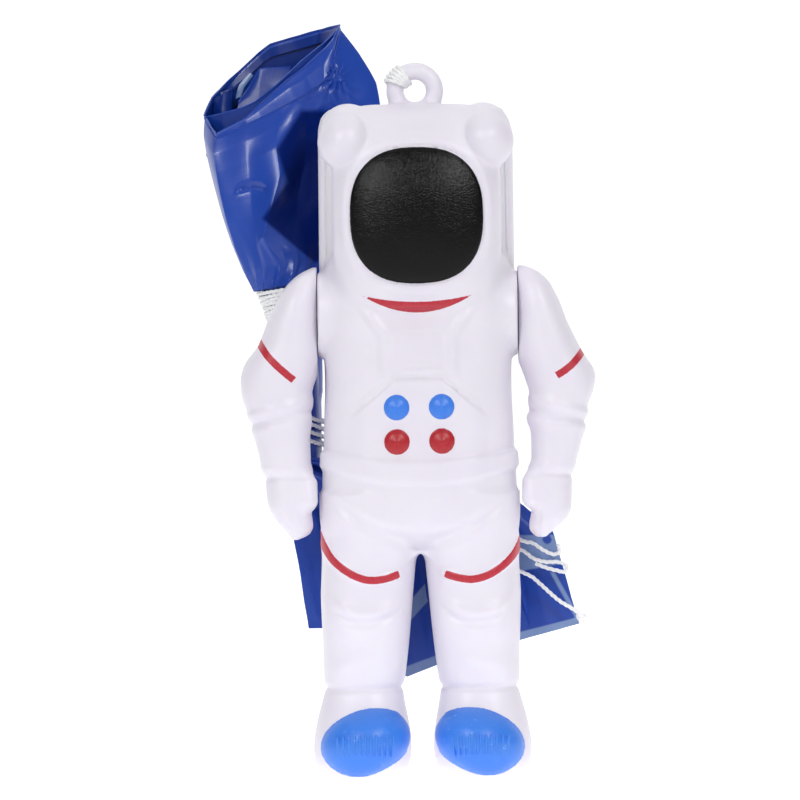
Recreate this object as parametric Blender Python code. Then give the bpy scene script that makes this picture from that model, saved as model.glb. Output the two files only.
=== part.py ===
"""Toy astronaut figure with its film parachute packed behind it.

The figure stands on its soles and faces -Y. It is a hollow moulding in two halves that
close on the plane y = 0 of the figure and trap the pegs of two turning arms. The canopy is
a square of film, rolled up and wound with the thread that ties it to the ring on the head.
All lengths are metres.
"""
import math

import bpy
import bmesh
from mathutils import Vector

# Driving sizes of the figure
helmet_height = 0.0895
body_half_width = 0.0132
chest_reach = 0.0085
back_reach = 0.0077
helmet_side_step = 0.0018
helmet_reach = 0.0096
helmet_root_depth = 0.002
pack_reach = 0.0115
pack_front_reach = 0.001
wall = 0.0014
clearance = 0.0003
overrun = 0.004
helmet_half_width = body_half_width - helmet_side_step
pack_half_width = body_half_width

# Legs and boots
leg_centre = 0.0073
boot_half_width = 0.0066
boot_reach = 0.0082
heel_reach = 0.007
toe_cap_centre = 0.0076
toe_cap_half_width = 0.00585
toe_cap_reach = 0.0102
toe_cap_depth = 0.0058
toe_cap_height = 0.0085
toe_cap_drop = 0.0021
toe_rib_radius = 0.00045
toe_rib_count = 6
toe_rib_spread_share = 0.62
toe_rib_low_angle = -4
toe_rib_high_angle = 34

# Hanging ring
ring_rise = 0.0019
ring_radius = 0.00265
ring_tube_radius = 0.00115
ring_setback = 0.0016
ring_height = helmet_height + ring_rise

# Visor, lobes and neck ring
visor_drop = 0.0150
visor_half_width = 0.00885
visor_half_height = 0.0091
visor_edge_reach = 0.0086
visor_crown_reach = 0.0108
visor_root_reach = 0.004
lobe_radius = 0.0039
lobe_drop = 0.0044
lobe_reach = 0.0036
neck_ring_drop = 0.0266
neck_ring_half_width = 0.0084
neck_ring_half_depth = 0.0060
neck_ring_tube = 0.0008
neck_ring_reach = 0.0023
visor_height = helmet_height - visor_drop
lobe_height = helmet_height - lobe_drop
neck_ring_height = helmet_height - neck_ring_drop

# Chest relief
control_half_width = 0.0081
control_low = 0.0424
control_high = 0.0529
control_raise = 0.0008
panel_half_width = 0.0043
panel_low = 0.0535
panel_high = 0.0600
panel_raise = 0.0005
button_radius = 0.0017
button_spread = 0.0030
button_high = 0.0490
button_low = 0.0444
button_sink = 0.0006

# Shoulders, arms and pegs
shoulder_height = 0.0615
shoulder_disc_radius = 0.0055
arm_width = 0.0104
arm_reach = 0.0299
arm_half_depth = 0.0056
thumb_radius = 0.00135
thumb_length = 0.0046
thumb_drop = 0.0245
thumb_forward_share = 0.75
peg_radius = 0.0022
peg_head_radius = 0.0032
peg_head_length = 0.0014

# Locating pins inside the body
pin_radius = 0.0009
pin_reach = 0.0022
socket_wall = 0.0008
socket_depth = 0.0026
pin_drop = 0.0055
pin_low = 0.0362
pin_high = helmet_height - pin_drop

# Canopy bundle, measured from the figure's own middle and seam
bundle_left = 0.0296
bundle_top = 0.1023
bundle_back = 0.0262
bundle_half_depth = 0.0069
hem_drop = 0.0080
fold_depth = 0.0007
fold_count = 6
bundle_points = 39
crown_base_x = -0.0175
crown_base_y = 0.0138
crown_base_radius = 0.00475
crown_base_rise = 0.0010
mouth_shrink = 0.14
mouth_drop = 0.0060
waist_x = -0.01775
waist_y = 0.0126
waist_radius = 0.0036
waist_low = 0.0430
waist_high = 0.0477
waist_turns = 4
middle_radius = 0.0044
neck_x = -0.0172
neck_y = 0.0136
neck_radius = 0.0034
neck_flare = 0.0008
neck_low = 0.0585
neck_high = 0.0652
neck_turns = 6.25
winding_margin = 0.0008

# Thread
thread_radius = 0.00027
thread_spacing = 0.0013
hitch_start_angle = 165
hitch_end_angle = 115
knot_radius = 0.00075

# Sampling
body_points = 32
arm_points = 24
cavity_points = 14
turn_points = 24

# Columns of the body tables: height, half width, front reach, back reach
torso_shares = (
    (0.344, 0.72, 0.61, 0.65), (0.355, 0.909, 0.80, 0.857), (0.380, 0.985, 0.88, 0.935),
    (0.419, 0.992, 0.93, 0.974), (0.438, 0.975, 0.925, 0.970), (0.441, 0.996, 0.955, 0.995),
    (0.469, 0.996, 0.965, 1.0), (0.473, 0.972, 0.94, 0.974), (0.525, 0.965, 0.976, 0.961),
    (0.603, 0.936, 1.0, 0.948), (0.670, 0.962, 0.976, 0.948), (0.726, 0.985, 0.894, 0.935),
    (0.760, 0.955, 0.776, 0.883), (0.777, 0.833, 0.59, 0.78),
)
helmet_shares = (
    (0.670, 0.66, 0.79, 1.0), (0.693, 0.82, 0.895, 1.0), (0.726, 0.925, 0.958, 1.0),
    (0.782, 0.983, 1.0, 1.0), (0.849, 0.996, 1.0, 1.0), (0.916, 0.983, 0.97, 1.0),
    (0.955, 0.94, 0.885, 1.0), (0.983, 0.84, 0.71, 0.9), (0.996, 0.70, 0.50, 0.75),
    (1.0, 0.58, 0.375, 0.6),
)
pack_shares = (
    (0.490, 0.87, 0.6, 0.88), (0.498, 0.93, 1.0, 0.965), (0.512, 0.953, 1.0, 1.0),
    (0.700, 0.953, 1.0, 1.0), (0.735, 0.99, 1.0, 1.0), (0.760, 1.0, 1.0, 1.0),
    (0.966, 1.0, 1.0, 1.0), (0.988, 0.965, 0.7, 0.965), (0.998, 0.88, 0.0, 0.89),
)
# Columns of the leg table: height, centre, half width, front reach, back reach
leg_shares = (
    (0.0, 1.103, 0.91, 0.927, 0.90), (0.0067, 1.103, 0.977, 0.988, 0.97),
    (0.0335, 1.103, 1.0, 1.0, 1.0), (0.0615, 1.096, 0.977, 0.963, 0.986),
    (0.0894, 1.089, 0.90, 0.854, 0.914), (0.1117, 1.075, 0.826, 0.73, 0.843),
    (0.1285, 1.068, 0.795, 0.683, 0.814), (0.1453, 1.055, 0.826, 0.707, 0.829),
    (0.190, 1.02, 0.871, 0.768, 0.871), (0.229, 1.007, 0.909, 0.841, 0.90),
    (0.268, 0.993, 0.94, 0.83, 0.93), (0.313, 0.952, 0.955, 0.84, 0.97),
    (0.346, 0.925, 0.985, 0.854, 0.985), (0.385, 0.904, 0.955, 0.854, 0.985),
)
leg_cavity_low_share = 0.12
# Columns of the bundle tables: left edge across and up, right edge across and up, middle depth,
# half depth, drop of the hem, depth of the pleats
skirt_shares = (
    (-0.503, 0.183, 0.730, 0.1945, 0.405, 0.145, 1.0, 1.0),
    (-0.527, 0.230, 0.696, 0.240, 0.416, 0.203, 0.8, 1.0),
    (-0.554, 0.288, 0.628, 0.296, 0.435, 0.26, 0.55, 0.9),
    (-0.601, 0.332, 0.486, 0.352, 0.458, 0.304, 0.28, 0.8),
    (-0.672, 0.373, 0.068, 0.391, 0.481, 0.377, 0.08, 0.6),
)
# Columns of the crown table, from the right edge round the back: across, back and up of the lip, swell
# across and back, 1 where the swell comes late, and the inner lip's step back and up
crown_shares = (
    (-0.340, 0.660, 0.996, 1.000, 0.087, 1, 0.000, 0.087), (-0.446, 0.863, 0.994, 0.667, 0.319, 1, -0.029, 0.000),
    (-0.628, 0.954, 0.982, 0.217, 0.377, 0, 0.000, 0.000), (-0.764, 0.977, 0.958, -0.116, 0.377, 0, 0.000, 0.000),
    (-0.892, 0.954, 0.925, -0.290, 0.319, 0, 0.043, 0.000), (-0.956, 0.832, 0.903, -0.290, 0.145, 0, 0.087, 0.000),
    (-0.983, 0.672, 0.874, -0.232, 0.000, 0, 0.116, 0.058), (-0.922, 0.508, 0.843, -0.217, -0.072, 0, 0.232, 0.188),
    (-0.784, 0.492, 0.861, -0.043, -0.130, 0, 0.304, 0.435), (-0.642, 0.485, 0.881, 0.043, -0.087, 0, 0.348, 0.493),
    (-0.507, 0.485, 0.901, 0.145, 0.043, 0, 0.377, 0.522), (-0.419, 0.496, 0.919, 0.232, 0.145, 0, 0.362, 0.493),
    (-0.372, 0.542, 0.950, 0.522, 0.130, 1, 0.232, 0.319),
)
# Rows of the crown: how far up, swell of the early columns, swell of the late ones
crown_rows = (
    (0.12, 0.5, 0.2), (0.28, 0.85, 0.5), (0.45, 1.0, 0.78), (0.62, 0.95, 0.96), (0.78, 0.8, 0.8),
    (0.9, 0.55, 0.42), (1.0, 0.0, 0.0),
)
# Main creases: row, column, across, back
crease_shares = (
    (1, 9, -0.275, -0.116), (1, 10, -0.145, 0.087), (2, 9, -0.130, -0.217), (2, 10, -0.174, 0.232),
    (2, 11, 0.000, 0.116), (3, 9, 0.029, -0.217), (3, 10, -0.087, 0.319), (3, 11, 0.000, 0.203),
    (4, 9, -0.029, -0.174), (4, 10, -0.043, 0.261), (4, 11, 0.000, 0.174), (5, 9, 0.000, -0.072),
    (5, 10, 0.000, 0.116),
)
# The film lies against the pack: across in body widths, back in pack depths
pack_contact = ((-1.121, 0.7), (-1.023, 1.109))
# How far the hem hangs below its two corners, from its left corner to its right
hem_shares = ((-1.0, 0.0), (-0.75, 0.6), (-0.5, 0.97), (-0.35, 1.0), (0.0, 0.78), (0.56, 0.33), (1.0, 0.0))
middle_shares = (0.25, 0.5, 0.75)
# Columns of the arm table: height from the axis, centre, half width, forward shift, half depth
arm_shares = (
    (0.204, 0.115, 0.096, 0.0, 0.286), (0.181, 0.144, 0.163, 0.0, 0.571),
    (0.144, 0.183, 0.221, 0.0, 0.768), (0.064, 0.250, 0.279, 0.0, 0.946),
    (-0.027, 0.298, 0.327, 0.0, 1.0), (-0.117, 0.356, 0.385, 0.018, 0.982),
    (-0.204, 0.442, 0.457, 0.054, 0.946), (-0.294, 0.529, 0.471, 0.107, 0.911),
    (-0.385, 0.514, 0.409, 0.179, 0.839), (-0.475, 0.466, 0.380, 0.232, 0.786),
    (-0.565, 0.4615, 0.337, 0.286, 0.714), (-0.652, 0.433, 0.303, 0.339, 0.643),
    (-0.686, 0.423, 0.322, 0.348, 0.670), (-0.746, 0.394, 0.317, 0.375, 0.660),
    (-0.763, 0.385, 0.269, 0.375, 0.554), (-0.833, 0.365, 0.298, 0.393, 0.607),
    (-0.913, 0.327, 0.279, 0.410, 0.589), (-0.967, 0.288, 0.202, 0.410, 0.446),
    (-1.0, 0.260, 0.096, 0.410, 0.232),
)
# Outline of the control box and the chest panel: across, up
control_shares = (
    (-1.0, 0.0), (1.0, 0.0), (1.0, 0.61), (0.57, 0.83), (0.36, 1.0), (-0.36, 1.0),
    (-0.57, 0.83), (-1.0, 0.61),
)
panel_shares = ((-0.85, 0.0), (0.85, 0.0), (1.0, 0.55), (0.7, 1.0), (-0.7, 1.0), (-1.0, 0.55))

torso_power = 2.9
helmet_power = 2.8
pack_power = 6.0
leg_power = 2.4
arm_power = 2.2
visor_power = 2.5

# The bundle's reach to the left and back, against the arm's and the visor's, sets its middle
arm_inner_plane = body_half_width + clearance
arm_outer_plane = arm_inner_plane + arm_width
figure_x = (bundle_left - arm_outer_plane) / 2
figure_y = (visor_crown_reach - bundle_back) / 2


def material(name, colour, roughness):
    """A Principled material of one colour."""
    made = bpy.data.materials.new(name)
    made.use_nodes = True
    shader = made.node_tree.nodes["Principled BSDF"]
    shader.inputs["Base Color"].default_value = (*colour, 1.0)
    shader.inputs["Roughness"].default_value = roughness
    shader.inputs["Metallic"].default_value = 0.0
    made.diffuse_color = (*colour, 1.0)
    return made


def signed_power(value, power):
    """Raise the size of a value to a power and keep its sign."""
    return math.copysign(abs(value) ** power, value)


def oval(count, half_x, front, back, power):
    """Points round a rounded rectangle that reaches to a front and a back."""
    middle = (back - front) / 2
    half_depth = (back + front) / 2
    points = []
    for step in range(count):
        angle = 2 * math.pi * step / count
        x = half_x * signed_power(math.cos(angle), 2 / power)
        points.append((x, middle + half_depth * signed_power(math.sin(angle), 2 / power)))
    return points


def mesh_object(name, grown, finish, parent=None, smooth_angle=40):
    """Turn a bmesh into a named object with its material, shaded smooth."""
    bmesh.ops.recalc_face_normals(grown, faces=grown.faces[:])
    mesh = bpy.data.meshes.new(name)
    grown.to_mesh(mesh)
    grown.free()
    mesh.materials.append(finish)
    mesh.shade_smooth()
    mesh.set_sharp_from_angle(angle=math.radians(smooth_angle))
    made = bpy.data.objects.new(name, mesh)
    bpy.context.collection.objects.link(made)
    made.parent = parent
    return made


def loft(rings):
    """Skin a stack of rings of equal count and close both ends with a fan."""
    grown = bmesh.new()
    rows = [[grown.verts.new(point) for point in ring] for ring in rings]
    count = len(rows[0])
    for low, high in zip(rows, rows[1:]):
        for step in range(count):
            following = (step + 1) % count
            grown.faces.new((low[step], low[following], high[following], high[step]))
    for row in (rows[0], rows[-1]):
        middle = grown.verts.new(sum((vert.co for vert in row), Vector()) / count)
        for step in range(count):
            grown.faces.new((row[step], row[(step + 1) % count], middle))
    return grown


def body_rings(shares, half_width, front, back, power, count, inset=0.0, grow=0.0):
    """Rings of one body form, drawn in by an inset or swollen by a raise."""
    rings = []
    top = shares[-1][0] * helmet_height - inset
    bottom = shares[0][0] * helmet_height + inset
    for height, width, ahead, behind in shares:
        z = min(max(height * helmet_height, bottom), top)
        if rings and z <= rings[-1][0][2]:
            continue
        section = oval(count, width * half_width - inset + grow, ahead * front - inset + grow,
                       behind * back - inset + grow, power)
        rings.append([(x, y, z) for x, y in section])
    return rings


def leg_rings(side, count, inset=0.0):
    """Rings of one leg with its boot, from the sole up, or of the hollow inside it."""
    rings = []
    for height, centre, width, ahead, behind in leg_shares:
        if inset and height < leg_cavity_low_share:
            continue
        section = oval(count, width * boot_half_width - inset, ahead * boot_reach - inset,
                       behind * heel_reach - inset, leg_power)
        middle = side * centre * leg_centre
        rings.append([(middle + x, y, height * helmet_height) for x, y in section])
    return rings


def helmet_rings(count, inset=0.0):
    """Rings of the helmet bubble, or of the hollow inside it."""
    return body_rings(helmet_shares, helmet_half_width, helmet_reach, helmet_root_depth,
                      helmet_power, count, inset)


def torso_rings(count, inset=0.0, grow=0.0):
    """Rings of the torso, or of the hollow inside it, or of the relief on it."""
    return body_rings(torso_shares, body_half_width, chest_reach, back_reach,
                      torso_power, count, inset, grow)


def pack_rings(count, inset=0.0):
    """Rings of the life-support pack, or of the hollow inside it."""
    return body_rings(pack_shares, pack_half_width, pack_front_reach, pack_reach,
                      pack_power, count, inset)


def between(table, height, column):
    """Read a column of a share table at a share of its first column."""
    for low, high in zip(table, table[1:]):
        if low[0] <= height <= high[0]:
            part = (height - low[0]) / (high[0] - low[0])
            return low[column] + part * (high[column] - low[column])
    return table[-1][column]


def chest_front(x, z):
    """How far the torso's front stands ahead of the seam at a place."""
    height = z / helmet_height
    half = between(torso_shares, height, 1) * body_half_width
    front = between(torso_shares, height, 2) * chest_reach
    back = between(torso_shares, height, 3) * back_reach
    return (front - back) / 2 + (front + back) / 2 * (1 - abs(x / half) ** torso_power) ** (1 / torso_power)


def sphere(centre, radii, columns, rows):
    """A closed ball with its own radius along each axis."""
    grown = bmesh.new()
    bmesh.ops.create_uvsphere(grown, u_segments=columns, v_segments=rows, radius=1.0)
    for vert in grown.verts:
        vert.co = Vector((centre[axis] + vert.co[axis] * radii[axis] for axis in range(3)))
    return grown


def torus(centre, half_x, half_z, tube, plane, major, minor):
    """A ring of round section. Plane is the pair of axes that it lies in."""
    first, second = plane
    third = 3 - first - second
    grown = bmesh.new()
    rows = []
    for step in range(major):
        turn = 2 * math.pi * step / major
        row = []
        for part in range(minor):
            around = 2 * math.pi * part / minor
            place = [0.0, 0.0, 0.0]
            place[first] = centre[first] + (half_x + tube * math.cos(around)) * math.cos(turn)
            place[second] = centre[second] + (half_z + tube * math.cos(around)) * math.sin(turn)
            place[third] = centre[third] + tube * math.sin(around)
            row.append(grown.verts.new(place))
        rows.append(row)
    for step in range(major):
        low = rows[step]
        high = rows[(step + 1) % major]
        for part in range(minor):
            following = (part + 1) % minor
            grown.faces.new((low[part], low[following], high[following], high[part]))
    return grown


def turned(profile, centre, axis, segments):
    """Turn a profile of (along, radius) pairs round an axis through a centre."""
    across = [index for index in range(3) if index != axis]
    rings = []
    for along, radius in profile:
        ring = []
        for step in range(segments):
            angle = 2 * math.pi * (step + 0.5) / segments
            place = list(centre)
            place[axis] += along
            place[across[0]] += radius * math.cos(angle)
            place[across[1]] += radius * math.sin(angle)
            ring.append(place)
        rings.append(ring)
    return loft(rings)


def box(low, high):
    """A plain block between two corners."""
    grown = bmesh.new()
    bmesh.ops.create_cube(grown, size=1.0)
    for vert in grown.verts:
        vert.co = Vector((low[axis] if vert.co[axis] < 0 else high[axis] for axis in range(3)))
    return grown


def prism(outline, near, far):
    """An outline of (x, z) points carried along y from near to far."""
    return loft([[(x, near, z) for x, z in outline], [(x, far, z) for x, z in outline]])


def cutter(name, grown):
    """A guide solid that shapes other pieces and isn't a piece itself."""
    made = mesh_object(name, grown, guide_finish, figure)
    made.hide_render = True
    made.display_type = 'WIRE'
    made.hide_set(True)
    return made


def cut(target, tool, operation='DIFFERENCE'):
    """Add one Boolean step to a piece."""
    step = target.modifiers.new(tool.name, 'BOOLEAN')
    step.operation = operation
    step.solver = 'EXACT'
    step.object = tool
    return step


def cut_all(target, name, tools, operation='DIFFERENCE'):
    """Add one Boolean step that takes a whole group of guides together."""
    group = bpy.data.collections.new(name)
    for tool in tools:
        group.objects.link(tool)
    step = target.modifiers.new(name, 'BOOLEAN')
    step.operation = operation
    step.solver = 'EXACT'
    step.operand_type = 'COLLECTION'
    step.collection = group
    return step


def relief(name, outline, raised):
    """A part of the chest that stands proud of it, following its curve."""
    skin = cutter(name + "_outline", prism(outline, 0.0, -chest_reach - overrun))
    plate = cutter(name, loft(torso_rings(body_points, 0.0, raised)))
    cut(plate, skin, 'INTERSECT')
    return plate


def visor_dome():
    """The bulged visor, from its root inside the helmet to its crown."""
    rings = []
    profile_shares = ((1.0, None), (1.0, 0.0), (0.93, 0.32), (0.75, 0.66), (0.45, 0.91), (0.15, 0.99))
    for spread, bulge in profile_shares:
        reach = visor_root_reach
        if bulge is not None:
            reach = visor_edge_reach + bulge * (visor_crown_reach - visor_edge_reach)
        section = oval(body_points, spread * visor_half_width, spread * visor_half_height,
                       spread * visor_half_height, visor_power)
        rings.append([(x, -reach, visor_height + z) for x, z in section])
    return loft(rings)


def toe_cap(side):
    """The ribbed cap over one toe, as a ball that the floor plane cuts."""
    middle = (side * toe_cap_centre, toe_cap_depth - toe_cap_reach, toe_cap_height / 2 - toe_cap_drop / 2)
    return sphere(middle, (toe_cap_half_width, toe_cap_depth, toe_cap_height / 2 + toe_cap_drop / 2), 20, 11)


def toe_rib(side, number):
    """One upright rib on a toe cap, as a bent rod along the cap's surface."""
    across = (number / (toe_rib_count - 1) * 2 - 1) * toe_rib_spread_share
    middle_y = toe_cap_depth - toe_cap_reach
    middle_z = (toe_cap_height - toe_cap_drop) / 2
    half_z = (toe_cap_height + toe_cap_drop) / 2
    rings = []
    for step in range(4):
        lift = math.radians(toe_rib_low_angle + (toe_rib_high_angle - toe_rib_low_angle) * step / 3)
        level = math.sqrt(1 - across * across)
        y = middle_y - toe_cap_depth * level * math.cos(lift)
        z = middle_z + half_z * level * math.sin(lift)
        x = side * toe_cap_centre + across * toe_cap_half_width
        ring = []
        for part in range(5):
            angle = 2 * math.pi * part / 5
            ring.append((x + toe_rib_radius * math.cos(angle),
                         y - toe_rib_radius * math.sin(angle) * math.cos(lift),
                         z + toe_rib_radius * math.sin(angle) * math.sin(lift)))
        rings.append(ring)
    return loft(rings)


def outer_forms():
    """Guides for everything that the closed body's outside is made of."""
    forms = [
        cutter("helmet_form", loft(helmet_rings(body_points))),
        cutter("pack_form", loft(pack_rings(body_points))),
        cutter("visor_form", visor_dome()),
        cutter("ring_form", torus((0.0, -ring_setback, ring_height), ring_radius, ring_radius,
                                  ring_tube_radius, (0, 2), 22, 8)),
        cutter("neck_ring_form", torus((0.0, -neck_ring_reach, neck_ring_height), neck_ring_half_width,
                                       neck_ring_half_depth, neck_ring_tube, (0, 1), 32, 6)),
    ]
    control = [(x * control_half_width, control_low + z * (control_high - control_low))
               for x, z in control_shares]
    panel = [(x * panel_half_width, panel_low + z * (panel_high - panel_low)) for x, z in panel_shares]
    forms.append(relief("control_form", control, control_raise))
    forms.append(relief("panel_form", panel, panel_raise))
    for side, word in ((-1, "right"), (1, "left")):
        forms.append(cutter("leg_form_" + word, loft(leg_rings(side, body_points))))
        forms.append(cutter("toe_cap_form_" + word, toe_cap(side)))
        for number in range(toe_rib_count):
            forms.append(cutter(f"toe_rib_form_{word}_{number + 1}", toe_rib(side, number)))
        lobe = (side * (body_half_width - lobe_radius), -lobe_reach, lobe_height)
        forms.append(cutter("lobe_form_" + word, sphere(lobe, (lobe_radius,) * 3, 14, 9)))
        disc = ((0.0, shoulder_disc_radius), (side * (body_half_width - leg_centre), shoulder_disc_radius))
        forms.append(cutter("shoulder_form_" + word,
                            turned(disc, (side * leg_centre, 0.0, shoulder_height), 0, 24)))
        for row, height in enumerate((button_high, button_low)):
            reach = chest_front(button_spread, height) + control_raise - button_sink
            forms.append(cutter(f"button_form_{word}_{row + 1}",
                                sphere((side * button_spread, -reach, height), (button_radius,) * 3, 12, 6)))
    return forms


def inner_forms():
    """Guides for the hollow inside the body and the holes of the two pegs."""
    forms = [
        cutter("torso_hollow", loft(torso_rings(cavity_points, wall))),
        cutter("helmet_hollow", loft(helmet_rings(cavity_points, wall))),
        cutter("pack_hollow", loft(pack_rings(cavity_points, wall))),
    ]
    for side, word in ((-1, "right"), (1, "left")):
        forms.append(cutter("leg_hollow_" + word, loft(leg_rings(side, cavity_points, wall))))
        shelf = body_half_width - wall
        hole = peg_radius + clearance
        pocket = peg_head_radius + clearance
        room = ((side * leg_centre, pocket), (side * shelf, pocket), (side * shelf, hole),
                (side * (body_half_width + overrun), hole))
        forms.append(cutter("peg_room_" + word, turned(room, (0.0, 0.0, shoulder_height), 0, 20)))
    return forms


def pin_start(height):
    """Where a locating pin leaves the middle of the front wall."""
    share = height / helmet_height
    if height > visor_height:
        return wall / 2 - between(helmet_shares, share, 2) * helmet_reach
    return wall / 2 - between(torso_shares, share, 2) * chest_reach


def locating_pins():
    """Pins on the front half and the bored posts on the back half that they enter."""
    pins = []
    sockets = []
    for number, height in enumerate((pin_high, pin_low), 1):
        back = pack_reach if height > visor_height else back_reach
        pin = ((pin_start(height), pin_radius), (pin_reach, pin_radius))
        bore = pin_radius + clearance
        outer = bore + socket_wall
        mouth = 2 * clearance
        socket = ((socket_depth, bore), (mouth, bore), (mouth, outer), (back - wall / 2, outer))
        pins.append(cutter(f"pin_form_{number}", turned(pin, (0.0, 0.0, height), 1, 12)))
        sockets.append(cutter(f"socket_form_{number}", turned(socket, (0.0, 0.0, height), 1, 12)))
    return pins, sockets


def body_half(name, forms, hollows, keep_low, keep_high, added):
    """One half of the body: the outer forms joined, hollowed, and cut at the seam."""
    half = mesh_object(name, loft(torso_rings(body_points)), body_finish, figure)
    cut_all(half, name + "_forms", forms, 'UNION')
    cut_all(half, name + "_hollows", hollows)
    cut(half, cutter(name + "_side", box(keep_low, keep_high)), 'INTERSECT')
    for form in added:
        cut(half, form, 'UNION')
    return half


def build_body():
    """The two halves of the hollow body."""
    forms = outer_forms()
    hollows = inner_forms()
    pins, sockets = locating_pins()
    side = body_half_width + overrun
    top = ring_height + ring_radius + ring_tube_radius + overrun
    deep = pack_reach + overrun
    body_half("body_front", forms, hollows, (-side, -deep, 0.0), (side, -clearance / 2, top), pins)
    body_half("body_back", forms, hollows, (-side, clearance / 2, 0.0), (side, deep, top), sockets)


def build_arm(name, side):
    """One arm with its hand, thumb, peg and retaining head, about its shoulder axis."""
    pivot = bpy.data.objects.new(name + "_pivot", None)
    bpy.context.collection.objects.link(pivot)
    pivot.parent = figure
    pivot.location = (0.0, 0.0, shoulder_height)
    rings = []
    for height, centre, width, ahead, depth in arm_shares:
        section = oval(arm_points, width * arm_width, depth * arm_half_depth,
                       depth * arm_half_depth, arm_power)
        middle = side * (arm_inner_plane + centre * arm_width)
        rings.append([(middle + x, y - ahead * arm_half_depth, height * arm_reach) for x, y in section])
    arm = mesh_object(name, loft(rings), body_finish, pivot)
    thumb_x = side * (arm_inner_plane + thumb_radius + thumb_radius / 2)
    thumb_y = -arm_half_depth * thumb_forward_share
    thumb = cutter(name + "_thumb_form", sphere((thumb_x, thumb_y, -thumb_drop),
                                                (thumb_radius, thumb_radius, thumb_length / 2), 12, 8))
    thumb.parent = pivot
    cut(arm, thumb, 'UNION')
    inside = sorted((0.0, side * arm_inner_plane))
    trim = cutter(name + "_inner_plane", box((inside[0], -2 * arm_half_depth, -2 * arm_reach),
                                             (inside[1], 2 * arm_half_depth, arm_reach)))
    trim.parent = pivot
    cut(arm, trim)
    head_start = body_half_width - wall - clearance
    profile = (
        (side * (head_start - peg_head_length), peg_radius),
        (side * (head_start - peg_head_length / 2), peg_head_radius),
        (side * head_start, peg_head_radius),
        (side * head_start, peg_radius),
        (side * (arm_inner_plane + wall), peg_radius),
    )
    peg = cutter(name + "_peg_form", turned(profile, (0.0, 0.0, 0.0), 0, 20))
    peg.parent = pivot
    cut(arm, peg, 'UNION')
    return arm


def bundle_ring(left, right, middle, half_depth, drop=0.0, pleat=0.0):
    """One section of the bundle between its left and right edges, each an (x, z) pair."""
    ring = []
    for step in range(bundle_points):
        angle = 2 * math.pi * step / bundle_points
        across = math.cos(angle)
        depth = math.sin(angle)
        x = (left[0] + right[0]) / 2 + across * (right[0] - left[0]) / 2
        z = (left[1] + right[1]) / 2 + across * (right[1] - left[1]) / 2
        z -= drop * between(hem_shares, across, 1)
        y = middle + depth * half_depth + pleat * math.cos(math.pi * fold_count * across) * abs(depth)
        ring.append((x, y, z))
    return ring


def bundle_rows(shares):
    """Sections of the bundle from a share table."""
    rings = []
    for left, left_up, right, right_up, middle, deep, drop, pleat in shares:
        rings.append(bundle_ring((left * bundle_left, left_up * bundle_top),
                                 (right * bundle_left, right_up * bundle_top),
                                 middle * bundle_back, deep * bundle_half_depth,
                                 drop * hem_drop, pleat * fold_depth))
    return rings


def round_ring(x, y, radius, height):
    """A round section of the bundle, where thread is wound on it."""
    return bundle_ring((x - radius, height), (x + radius, height), y, radius)


def crown_ring(columns):
    """A section of the crown through its columns, with the same number of points as every other."""
    ring = []
    each = bundle_points // len(columns)
    for number, start in enumerate(columns):
        end = columns[(number + 1) % len(columns)]
        for step in range(each):
            ring.append(tuple(Vector(start).lerp(Vector(end), step / each)))
    return ring


def crown_rings():
    """The crown from its round base to the lip, then over the inner lip and down into the mouth."""
    base = []
    for number in range(len(crown_shares)):
        angle = 2 * math.pi * number / len(crown_shares)
        base.append(Vector((crown_base_x + crown_base_radius * math.cos(angle),
                            crown_base_y + crown_base_radius * math.sin(angle), neck_high + crown_base_rise)))
    rings = [crown_ring(base)]
    for row, (part, early, late) in enumerate(crown_rows):
        columns = []
        for number, (across, back, up, swell_x, swell_y, is_late, _, _) in enumerate(crown_shares):
            lip = Vector((across * bundle_left, back * bundle_back, up * bundle_top))
            swell = (late if is_late else early) * bundle_half_depth
            point = base[number].lerp(lip, part) + Vector((swell_x * swell, swell_y * swell, 0.0))
            for crease_row, column, crease_x, crease_y in crease_shares:
                if (crease_row, column) == (row, number):
                    point += Vector((crease_x, crease_y, 0.0)) * bundle_half_depth
            (far, far_back), (near, near_back) = pack_contact
            reach = min(max((point.x / body_half_width - far) / (near - far), 0.0), 1.0)
            point.y = max(point.y, (far_back + (near_back - far_back) * reach) * pack_reach)
            columns.append(point)
        rings.append(crown_ring(columns))
    inner = []
    for point, (_, _, _, _, _, _, step_back, step_up) in zip(columns, crown_shares):
        inner.append(point + Vector((0.0, step_back, step_up)) * bundle_half_depth)
    rings.append(crown_ring(inner))
    middle = sum(inner, Vector()) / len(inner)
    floor = [point.lerp(middle, mouth_shrink) - Vector((0.0, 0.0, mouth_drop)) for point in inner]
    rings.append(crown_ring(floor))
    return rings


def build_canopy():
    """The rolled film: skirt, two wound waists, and the crown with its open mouth."""
    middle_x = (waist_x + neck_x) / 2
    middle_y = (waist_y + neck_y) / 2
    rings = bundle_rows(skirt_shares)
    rings.append(round_ring(waist_x, waist_y, waist_radius, waist_low - winding_margin))
    rings.append(round_ring(waist_x, waist_y, waist_radius, waist_high + winding_margin))
    for part in middle_shares:
        height = waist_high + (neck_low - waist_high) * part
        rings.append(round_ring(middle_x, middle_y, middle_radius, height))
    rings.append(round_ring(neck_x, neck_y, neck_radius, neck_low - winding_margin))
    rings.append(round_ring(neck_x, neck_y, neck_radius + neck_flare, neck_high))
    rings.extend(crown_rings())
    return mesh_object("canopy", loft(rings), film_finish, figure)


def straight_ends(points, length):
    """Lead a wound thread straight into and out of its turns."""
    first = points[0] + (points[0] - points[1]).normalized() * length
    last = points[-1] + (points[-1] - points[-2]).normalized() * length
    return [first, *points, last]


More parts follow.
